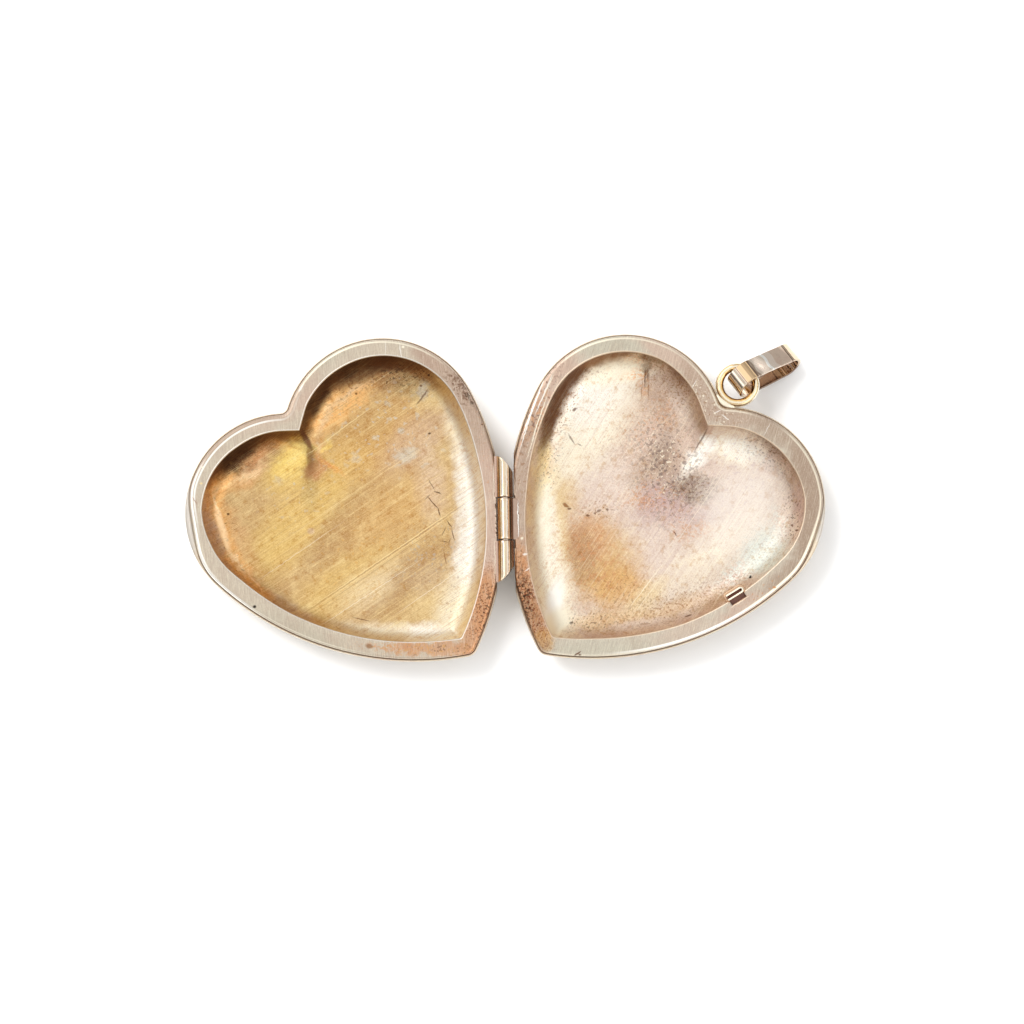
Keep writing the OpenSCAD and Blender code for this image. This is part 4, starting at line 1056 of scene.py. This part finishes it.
BACK_RIM = [
    (2.2, 5.8, 3.6, 0.7, 70, "pink_brown", 0.75, 0.6, "ragged"),
    (1.4, 0.4, 2.6, 0.45, 88, "pink_brown", 0.5, 0.6, "broken"),
    (9.6, 13.1, 3.6, 1.0, 0, "green_grey", 0.35, 0.7, "soft"),
    (5.4, 11.4, 1.6, 1.0, 44, "rose", 0.8, 0.5, "ragged"),
    (3.9, 9.4, 0.8, 2.4, -30, "rose", 0.85, 0.5, "soft"),
    (2.3, 6.2, 1.0, 3.6, -22, "copper", 0.7, 0.5, "broken"),
    (1.7, 2.6, 0.9, 3.0, -10, "taupe", 0.9, 0.5, "soft"),
    (1.3, -2.0, 0.9, 3.6, 0, "taupe", 0.8, 0.5, "soft"),
    (1.3, -6.8, 1.0, 3.0, 4, "copper", 0.95, 0.4, "ragged"),
    (2.0, -10.4, 1.2, 2.6, 18, "copper", 0.95, 0.35, "ragged"),
    (3.2, -12.4, 1.0, 0.9, 20, "honey", 0.7, 0.35, "ragged"),
    (14.2, 12.4, 3.0, 0.9, -34, "rose", 0.7, 0.5, "ragged"),
    (17.0, 9.6, 2.6, 1.0, -58, "taupe", 0.85, 0.5, "ragged"),
    (19.4, 6.8, 3.0, 1.0, -10, "taupe", 0.85, 0.5, "ragged"),
    (23.6, 5.6, 2.4, 1.1, -34, "warm_taupe", 0.8, 0.5, "soft"),
    (26.2, 1.4, 1.3, 3.6, 14, "warm_taupe", 0.95, 0.4, "soft"),
    (26.4, -3.4, 1.3, 3.2, -8, "warm_taupe", 0.95, 0.4, "soft"),
    (24.6, -7.4, 2.6, 1.2, 44, "warm_taupe", 0.8, 0.5, "soft"),
    (20.6, -10.2, 2.6, 1.0, 30, "rose", 0.7, 0.5, "soft"),
    (15.6, -12.0, 3.0, 0.9, 18, "rose", 0.35, 0.5, "soft"),
    (7.8, -13.4, 5.6, 0.9, 0, "green_grey", 0.3, 0.7, "soft"),
    (1.5, -8.6, 0.8, 2.4, 12, "umber", 0.75, 0.4, "broken"),
    (2.2, -10.6, 1.0, 2.4, 18, "brown", 0.5, 0.6, "ragged"),
    (3.2, -13.0, 0.5, 0.3, 10, "brown", 0.7, 0.4, "broken"),
]

BACK_RIM_LINES = [
    # painted shade: the two umber lines along the hinge side
    (0.86, 2.4, 1.6, 0.06, 92, "umber", 0.7), (0.86, -6.2, 1.6, 0.06, 88, "umber", 0.7),
    (2.6, 7.9, 2.6, 0.06, 68, "white", 0.9), (2.1, 6.4, 2.2, 0.05, 72, "white", 0.85),
    (3.1, 6.9, 2.0, 0.05, 70, "cream", 0.9), (3.5, 8.9, 1.8, 0.05, 66, "white", 0.85),
    (2.5, 5.0, 1.8, 0.04, 72, "cream", 0.8), (3.9, 9.6, 1.2, 0.04, 64, "cream", 0.8),
    (6.1, -13.7, 0.35, 0.06, 30, "umber", 0.9), (6.3, -13.8, 0.12, 0.08, 0, "umber", 0.8),
    (22.9, 5.6, 0.6, 0.03, 60, "white", 0.5), (19.3, 6.7, 0.4, 0.05, -40, "white", 0.6),
    (18.6, 7.2, 0.3, 0.05, 20, "white", 0.6), (23.3, -8.2, 0.14, 0.1, 0, "copper", 0.9),
    (23.7, -8.6, 0.1, 0.08, 0, "white", 0.8), (1.7, -5.0, 0.2, 0.08, 0, "white", 0.7),
    (1.4, -3.6, 0.12, 0.1, 0, "cream", 0.8), (1.9, -6.3, 0.3, 0.05, 30, "white", 0.6),
    (24.9, -7.4, 0.12, 0.1, 0, "cream", 0.8), (16.6, 9.6, 0.5, 0.03, 60, "white", 0.6),
]


# Painted highlights and shade in long lines on the hinge's barrel, and painted shade in the gaps between its
# knuckles
HINGE_LIGHT_LINES = [
    (-0.5, -1.9, 5.6, 0.14, 90, "honey", 0.75), (-0.23, -1.9, 5.3, 0.05, 90, "white", 0.85),
    (0.16, -1.9, 5.3, 0.06, 90, "white", 0.6), (0.4, -1.9, 5.6, 0.2, 90, "brown", 0.8),
    (0.63, -1.9, 5.6, 0.14, 90, "umber", 0.85), (-0.68, -1.9, 5.6, 0.1, 90, "umber", 0.85),
    (0.0, -0.05, 1.0, 0.11, 0, "umber", 0.9), (0.0, -3.75, 1.0, 0.11, 0, "umber", 0.9),
]
# Painted highlight and painted shade along the edge of the back half's leaf
LEAF_LIGHT_LINES = [(1.12, -1.9, 1.5, 0.05, 90, "white", 0.95), (1.2, -1.9, 1.7, 0.03, 90, "umber", 0.6)]

# Painted highlights and shade round the ring's wire, as (radius, colour, strength) of discs from the outside
# in
RING_SHADES = [(1.8, "gold", 0.8), (1.68, "cream", 0.9), (1.54, "pale_gold", 0.9), (1.44, "honey", 0.9),
               (1.36, "umber", 0.85)]

# Painted reflections and shade in bands across the bail's strip: from, to, whether they sway, colour,
# strength.
# Distances run along the strip from the near end of its upper side: below zero on that side, above zero round
# the end that holds the ring
BAIL_REFLECTIONS = [
    (0.06, 1.1, False, "khaki", 0.95), (-0.1, 0.06, False, "umber", 0.8), (-0.34, -0.08, True, "umber", 0.55),
    (-1.5, -0.3, True, "pink", 0.5), (-1.84, -1.56, True, "white", 1.0), (-2.5, -1.84, True, "pink", 0.6),
    (-3.96, -2.5, True, "rose", 0.5), (-4.1, -3.98, False, "umber", 0.8), (1.12, 1.22, False, "umber", 0.8),
    (4.5, 12.0, False, "umber", 0.75), (-6.2, -4.12, False, "khaki", 0.4),
]


def mark_all(paint, chart, edges):
    """Lay a chart's marks over the paint; edges gives each kind of edge its warped place and its gaps."""
    for x, y, length, width, turn, colour, strength, softness, edge in chart:
        vector, gaps = edges[edge]
        mask = paint.ellipse((x, y), (length, width), turn, softness, vector)
        if gaps is not None:
            mask = paint.both(mask, gaps)
        paint.blend(mask, colour, strength)


def spot_all(paint, chart):
    """Sprinkle fine spots inside ellipses that fade out."""
    for number, (x, y, length, width, turn, colour, strength, size, share) in enumerate(chart):
        region = paint.ellipse((x, y), (length, width), turn, 0.9)
        spots = paint.noise(size, 1.0, 0.5, shift=3.1 * number)
        low = 0.72 - 0.3 * share
        mask = paint.both(region, paint.step(spots, low, low + 0.07))
        paint.blend(mask, colour, strength)


def grain(paint, size, dark, light):
    """Fine grain: multiplies by brown and screens with cream in spots of a size."""
    fine = paint.noise(size, 3.0, 0.75, shift=1.7)
    paint.blend(paint.step(fine, 0.52, 0.3), "gold", dark, mode="MULTIPLY")
    paint.blend(paint.step(fine, 0.5, 0.72), "gold", light, mode="SCREEN")
    return fine


def line_all(paint, chart):
    """Lay thin marks over the paint: scratches, cracks and pits, and also painted highlights and painted
    shade.
    """
    for x, y, length, width, turn, colour, strength in chart:
        mask = paint.ellipse((x, y), (length, width), turn, 0.45, paint.shaky)
        paint.blend(mask, colour, strength)


def edge_kinds(paint):
    """Warped places and gaps for each kind of edge in the charts."""
    gaps = paint.step(paint.noise(0.28, 4.0, 0.65), 0.44, 0.56)
    return {"even": (paint.mm, None), "soft": (paint.warped, None), "ragged": (paint.ragged, None),
            "broken": (paint.ragged, gaps)}


def brushed(paint, turn, length, width, light, dark, strength, height):
    """Fine parallel lines in the metal: light and dark streaks with a low relief."""
    fine = paint.stretched(turn, length, width)
    broad = paint.stretched(turn, length * 2.4, width * 3.2, shift=5.0)
    paint.blend(paint.step(fine, 0.5, 0.72), light, strength)
    paint.blend(paint.step(fine, 0.5, 0.3), dark, strength)
    paint.blend(paint.step(broad, 0.52, 0.7), light, strength * 0.8)
    paint.blend(paint.step(broad, 0.48, 0.32), dark, strength * 0.8)
    paint.raise_by(fine, height)


def notch_mask(paint, half, across, shorter, soft):
    """Mask of the thumb notch: its half size across the rim, and how much shorter than the notch it is."""
    middle, length, _ = NOTCH[half]
    return paint.ellipse((SIDES[half] * NOTCH_X, middle), (across, length / 2 - shorter), 0, soft)


def dish_material(half, base, blotch_light, blotch_dark, turn, streaks, chart, spots, lines):
    """Worn inside of a dish: soft clouds, the chart's stains with painted shade and highlights on its walls
    and ridges, brushing, grain, spots, and scratches with more painted shade and highlights.
    """
    p = Paint(f"dish_{half}", base, 0.4)
    cloud = p.noise(1.3, 4)
    p.blend(p.step(cloud, 0.5, 0.68), blotch_light, 0.45)
    p.blend(p.step(cloud, 0.5, 0.34), blotch_dark, 0.35)
    mark_all(p, chart, edge_kinds(p))
    brushed(p, turn, 2.6, 0.05, blotch_light, blotch_dark, streaks, 0.006)
    fine = grain(p, 0.12, 0.42, 0.5)
    broad = p.noise(0.6, 3.0, 0.6, shift=8.0)
    p.blend(p.step(broad, 0.46, 0.3), "gold", 0.4, mode="MULTIPLY")
    p.blend(p.step(broad, 0.52, 0.68), "gold", 0.2, mode="SCREEN")
    p.raise_by(fine, 0.011)
    spot_all(p, spots)
    line_all(p, lines)
    p.roughen(p.noise(0.9, 3.0), 0.16)
    return p.finish()


def rim_material(half, turn, edge, chart, spots, lines, bands):
    """Brushed plate with its stains, a painted highlight along its inner lip, painted highlights and shade in
    bands along its outer shoulder, painted shade low on its sides, and a painted highlight in the thumb
    notch.
    """
    p = Paint(f"rim_{half}", f"{half}_rim", 0.3)
    p.blend(p.step(p.noise(2.2, 3), 0.48, 0.66), "taupe", 0.25)
    mark_all(p, chart, edge_kinds(p))
    brushed(p, turn, 0.8, 0.03, "cream", "warm_taupe", 0.36, 0.002)
    grain(p, 0.13, 0.2, 0.2)
    spot_all(p, spots)
    beyond = p.attribute("beyond")
    # painted highlight along the inner lip of the rim
    lip = p.both(p.step(beyond, -0.13, -0.09), p.step(beyond, 0.02, -0.01))
    p.blend(lip, edge, 0.7)
    # painted highlights and painted shade in bands along the outer shoulder
    side_distance = p.attribute("side_distance")
    for x, y, length, width, angle, low, high, colour, strength in bands:
        region = p.ellipse((x, y), (length, width), angle, 0.5)
        p.blend(p.both(region, p.band(side_distance, low, high, 0.03)), colour, strength)
    # painted shade on the plate's sides below the rim
    low = p.level(RIM_Z - 0.16, RIM_Z - 0.3)
    p.blend(low, "umber", 0.8)
    # painted highlight instead of that shade in the thumb notch
    p.blend(p.both(low, notch_mask(p, half, 1.2, 1.0, 0.4)), "silver", 0.85)
    line_all(p, lines)
    p.roughen(p.noise(0.7, 3.0), 0.12)
    return p.finish()


def shell_material(half):
    """Brushed and handled outside of a shell, with tarnish in soft clouds, fine scratches each way, painted
    shade by the hinge and a painted highlight in the thumb notch.
    """
    p = Paint(f"shell_{half}", "shell", 0.28)
    p.blend(p.step(p.noise(4.5, 5), 0.4, 0.75), "rose", 0.35)
    p.blend(p.step(p.noise(2.4, 5, shift=6.0), 0.45, 0.8), "pale_gold", 0.35)
    brushed(p, 20, 3.0, 0.05, "cream", "taupe", 0.2, 0.002)
    brushed(p, 112, 2.2, 0.04, "cream", "taupe", 0.16, 0.002)
    p.blend(p.step(p.noise(0.3, 2.0, 0.6, shift=2.0), 0.64, 0.74), "brown", 0.35)
    # painted shade on the shell's side by the hinge, below the rim
    hinge_shade = p.ellipse((SIDES[half] * SEAT_X, HINGE_Y), (6.6, 0.4), 90, 0.3, p.mm)
    p.blend(p.both(hinge_shade, p.level(PLATE_Z - 0.7, PLATE_Z - 0.15)), "umber", 0.9)
    # painted highlight: pale grey on the lip in the thumb notch
    p.blend(notch_mask(p, half, 0.6, 0.0, 0.5), "lip_grey", 0.8)
    p.roughen(p.noise(1.2, 3.0), 0.14)
    return p.finish()


def catch_material(name, base, side_shade):
    """Polished gold on the catch's upper edges, with copper painted shade below them and maroon painted shade
    in the leaf's slot.
    """
    p = Paint(name, base, 0.12)
    top = RIM_Z + CATCH_RISE
    # painted shade on the sides below the top edges
    p.blend(p.level(top - 0.01, top - 0.06), "copper", side_shade)
    middle = at_catch(-LEAF_D - FOLD_R, 0.0)[:2]
    slot = p.ellipse(middle, (CATCH_LEN / 2, FOLD_R - 0.06), CATCH_LINE, 0.2, p.mm)
    # painted shade in the slot of the folded leaf
    p.blend(p.both(slot, p.level(top - 0.04, top - 0.1)), "maroon", 0.95)
    p.roughen(p.noise(0.4, 3), 0.08)
    return p.finish()


def pocket_material():
    """Dull dark metal in the slot behind the catch, painted dark as shade."""
    p = Paint("pocket", "pocket", 0.6)
    p.shader.inputs["Metallic"].default_value = 0.0
    return p.finish()


def polished(name, base, roughness, chart=(), lines=(), bands=()):
    """Polished metal with faint clouds; its marks, lines, and bands across the bail's strip paint highlights,
    shade and reflections.
    """
    p = Paint(name, base, roughness)
    cloud = p.noise(1.0, 3)
    p.blend(p.step(cloud, 0.46, 0.66), "rose", 0.35)
    fine = p.noise(0.12, 3, shift=2.0)
    p.blend(p.step(fine, 0.6, 0.74), "brown", 0.25)
    mark_all(p, chart, {"even": (p.shaky, None)})
    line_all(p, lines)
    for low, high, sway, colour, strength in bands:
        run = p.attribute("sway" if sway else "along")
        p.blend(p.band(run, low, high, 0.04), colour, strength)
    p.roughen(cloud, 0.04)
    p.raise_by(fine, 0.0008)
    return p.finish()


# The table's half size, the key light's place and size in millimetres, and its power
TABLE_HALF, KEY_AT, KEY_SIZE, KEY_WATTS = 1500, (-260, 260, 420), 300, 2.3


def make_stage():
    """White table, soft light from the upper left, and a bright room with a darker band."""
    half = TABLE_HALF * MM
    mesh = bpy.data.meshes.new("table")
    corners = [(-half, -half, 0), (half, -half, 0), (half, half, 0), (-half, half, 0)]
    mesh.from_pydata(corners, [], [(0, 1, 2, 3)])
    table = show("table", mesh)
    white = bpy.data.materials.new("white_table")
    white.use_nodes = True
    shader = white.node_tree.nodes["Principled BSDF"]
    shader.inputs["Base Color"].default_value = (0.93, 0.93, 0.93, 1.0)
    shader.inputs["Roughness"].default_value = 0.9
    shader.inputs["Specular IOR Level"].default_value = 0.0
    mesh.materials.append(white)

    make_room()
    key = add_area("key", KEY_AT, (0, 0, 0), KEY_SIZE, KEY_WATTS)
    key.visible_glossy = False


# The room as the metal sees it. Heights are sines of the elevation, turns are degrees from +X
ROOM_LEVELS = [(0.0, 0.12), (0.1, 0.32), (0.22, 0.78), (0.4, 0.95), (0.6, 1.02), (0.8, 1.04), (1.0, 1.04)]
# Columns: turn of the middle, half width in degrees, lowest and highest height, brightness
ROOM_CARDS = [
    (-38, 36, 0.45, 0.9, 1.8), (-70, 45, 0.0, 0.24, 0.3), (145, 44, 0.3, 0.88, 1.9),
    (0, 38, 0.0, 0.24, 0.16), (4, 8, 0.0, 0.4, 0.12), (4, 8, 0.4, 0.6, 0.7), (4, 8, 0.6, 0.67, 3.4),
    (4, 8, 0.67, 0.8, 0.8), (174, 8, 0.88, 0.93, 3.0), (174, 8, 0.45, 0.8, 0.75), (174, 8, 0.32, 0.45, 1.6),
    (174, 8, 0.0, 0.32, 0.2), (67, 25, 0.12, 0.27, 0.6), (67, 25, 0.27, 0.325, 0.95),
    (67, 25, 0.325, 0.355, 3.0), (67, 25, 0.355, 0.43, 0.9), (67, 25, 0.43, 0.455, 0.08),
    (67, 25, 0.455, 0.62, 0.8), (205, 14, 0.05, 0.3, 0.06), (205, 14, 0.42, 0.47, 0.2),
    (230, 20, 0.6, 0.66, 0.3),
]


# Half widths of the cards' soft edges: degrees at their sides, and height at their ends
CARD_SOFT_TURN, CARD_SOFT = 3, 0.01


def make_room():
    """World that is bright overhead and darker low down, with a few light and dark cards."""
    world = bpy.data.worlds.new("room")
    world.use_nodes = True
    bpy.context.scene.world = world
    tree = world.node_tree

    def add(kind, *inputs, **settings):
        """First output of a new node in the world's tree."""
        node = tree.nodes.new(kind)
        for key, value in settings.items():
            setattr(node, key, value)
        for socket, value in zip(node.inputs, inputs):
            if isinstance(value, (int, float)):
                socket.default_value = value
            else:
                tree.links.new(value, socket)
        return node.outputs[0]

    def calc(operation, *inputs):
        """Result of a math node in the world's tree."""
        return add("ShaderNodeMath", *inputs, operation=operation)

    direction = tree.nodes.new("ShaderNodeTexCoord").outputs["Generated"]
    split = tree.nodes.new("ShaderNodeSeparateXYZ")
    tree.links.new(direction, split.inputs["Vector"])
    x, y, height = split.outputs
    ramp = tree.nodes.new("ShaderNodeValToRGB")
    tree.links.new(height, ramp.inputs["Fac"])
    elements = ramp.color_ramp.elements
    while len(elements) < len(ROOM_LEVELS):
        elements.new(0.5)
    for element, (at, value) in zip(elements, ROOM_LEVELS):
        element.position = at
        element.color = (value, value, value, 1.0)
    light = ramp.outputs["Color"]
    flat = calc("POWER", calc("SUBTRACT", 1.0, calc("POWER", height, 2.0)), 0.5)
    for turn, half, low, high, value in ROOM_CARDS:
        facing = heading(turn)
        along = calc("ADD", calc("MULTIPLY", x, float(facing[0])), calc("MULTIPLY", y, float(facing[1])))
        outer, inner = (math.cos(math.radians(half + soft)) for soft in (CARD_SOFT_TURN, -CARD_SOFT_TURN))
        beside = add("ShaderNodeMapRange", calc("DIVIDE", along, flat), outer, inner)
        above = add("ShaderNodeMapRange", height, low - CARD_SOFT, low + CARD_SOFT)
        below = add("ShaderNodeMapRange", height, high + CARD_SOFT, high - CARD_SOFT)
        mask = calc("MULTIPLY", calc("MULTIPLY", beside, above), below)
        mix = tree.nodes.new("ShaderNodeMix")
        mix.data_type = "RGBA"
        tree.links.new(mask, mix.inputs["Factor"])
        tree.links.new(light, mix.inputs["A"])
        mix.inputs["B"].default_value = (value, value, value, 1.0)
        light = mix.outputs["Result"]
    back = tree.nodes["Background"]
    tree.links.new(light, back.inputs["Color"])
    back.inputs["Strength"].default_value = 1.0


def add_area(name, at_mm, target_mm, size_mm, watts):
    """Square light at a place, facing a target."""
    lamp = bpy.data.lights.new(name, "AREA")
    lamp.shape = "SQUARE"
    lamp.size = size_mm * MM
    lamp.energy = watts
    obj = show(name, lamp)
    obj.location = Vector(at_mm) * MM
    obj.rotation_euler = (Vector(target_mm) * MM - obj.location).to_track_quat("-Z", "Y").to_euler()
    return obj


def make_camera():
    """Long lens nearly overhead, turned so that the hinge shows where the photo has it."""
    elevation, roll = math.radians(CAMERA_ELEVATION), math.radians(PHOTO_ROLL)
    back = Vector((0.0, -math.cos(elevation), math.sin(elevation)))
    level = Vector((1.0, 0.0, 0.0))
    rise = back.cross(level)
    right = level * math.cos(roll) - rise * math.sin(roll)
    up = level * math.sin(roll) + rise * math.cos(roll)
    middle = PHOTO_SIZE / 2
    target = Vector((0.0, HINGE_Y, CLOSE_Z))
    target += right * ((middle - HINGE_PX[0]) / PHOTO_SCALE) + up * ((HINGE_PX[1] - middle) / PHOTO_SCALE)
    lens = bpy.data.cameras.new("camera")
    lens.sensor_width = 36.0
    lens.lens = PHOTO_SCALE * CAMERA_FAR / PHOTO_SIZE * lens.sensor_width
    lens.clip_end = 10.0
    camera = show("camera", lens)
    # Bevel the sharp edges of a piece.
    turn = Matrix((right, up, back)).transposed().to_4x4()
    camera.matrix_world = Matrix.Translation((target + back * CAMERA_FAR) * MM) @ turn
    bpy.context.scene.camera = camera


def place(piece, body, slot, material=None):
    """Give a piece its material, unless it has its own, and let it ride on a body. The slot is not used."""
    if material is not None:
        piece.data.materials.append(material)
    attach(piece, body)
    return piece


def main():
    """Make the materials and the pieces over the solids, then the stage and the camera."""
    bright = polished("polished_hinge", "hinge_gold", 0.07, lines=HINGE_LIGHT_LINES)
    pin_skin = polished("polished_pin", "bail_gold", 0.1)
    bail_skin = polished("polished_bail", "bail_gold", 0.05, bands=BAIL_REFLECTIONS)
    ring_at = to_part((0.0, RING_V))
    # painted highlights and shade round the ring's wire
    shades = [(*ring_at, r, r, 0, colour, strength, 0.03, "even") for r, colour, strength in RING_SHADES]
    ring_skins = (polished("polished_ring", "cream", 0.08, chart=shades), polished("solder", "cream", 0.35))
    leaf_skins = {-1: polished("leaf_front", "rose", 0.2),
                  1: polished("leaf_back", "taupe", 0.22, lines=LEAF_LIGHT_LINES)}
    front_skins = (
        shell_material("front"),
        rim_material("front", 95, "white", FRONT_RIM, FRONT_RIM_SPOTS, FRONT_RIM_LINES, FRONT_RIM_SHOULDER_LIGHT),
        dish_material("front", "dish_gold", "pale_gold", "worn_gold", 33, 0.45, FRONT_DISH, FRONT_DISH_SPOTS,
                      FRONT_DISH_LINES))
    # painted shade on the dish behind the catch's leaf
    shade_behind_leaf = (*at_catch(-1.7, 0.0)[:2], CATCH_LEN / 2 - 0.1, 0.18, CATCH_LINE, "brown", 0.8, 0.3, "even")
    # painted highlight along the pocket's edge
    pocket_edge_highlight = (*at_catch(-1.25, 0.0)[:2], CATCH_LEN / 2, 0.045, CATCH_LINE, "peach_white", 0.9)
    back_skins = (
        shell_material("back"),
        rim_material("back", 74, "peach_white", BACK_RIM, BACK_RIM_SPOTS, BACK_RIM_LINES + [pocket_edge_highlight],
                     BACK_RIM_SHOULDER_LIGHT),
        dish_material("back", "dish_rose", "cream", "rose", 56, 0.34, BACK_DISH + [shade_behind_leaf],
                      BACK_DISH_SPOTS, BACK_DISH_LINES))
    front = build_case("front_case", "front", front_skins)
    back = cut_pocket(build_case("back_case", "back", back_skins))
    place(front, "front_half", "front_gold")
    place(back, "back_half", "back_gold")
    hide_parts("front_half")
    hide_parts("back_half")
    for number, side in [(0, -1), (1, 1), (2, -1)]:
        body, slot = ("back_half", "back_gold") if side > 0 else ("front_half", "front_gold")
        place(knuckle(f"knuckle_{number}", number, side, (bright, leaf_skins[side])), body, slot)
    # the leaf's pale cream base, left on its top edges, is a painted highlight
    catch_skins = (catch_material("catch_leaf", "cream", 0.8), catch_material("catch_tab", "catch_gold", 0.0))
    place(build_catch(catch_skins), "back_half", "back_gold")
    place(build_ring(ring_skins), "back_half", "back_gold")
    bail = place(build_bail(), "bail", "bail_gold", bail_skin)
    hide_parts("bail")
    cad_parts["hinge_pin"].data.materials.clear()
    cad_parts["hinge_pin"].data.materials.append(pin_skin)
    make_stage()
    make_camera()
    bpy.context.scene.view_settings.view_transform = "Standard"


main()
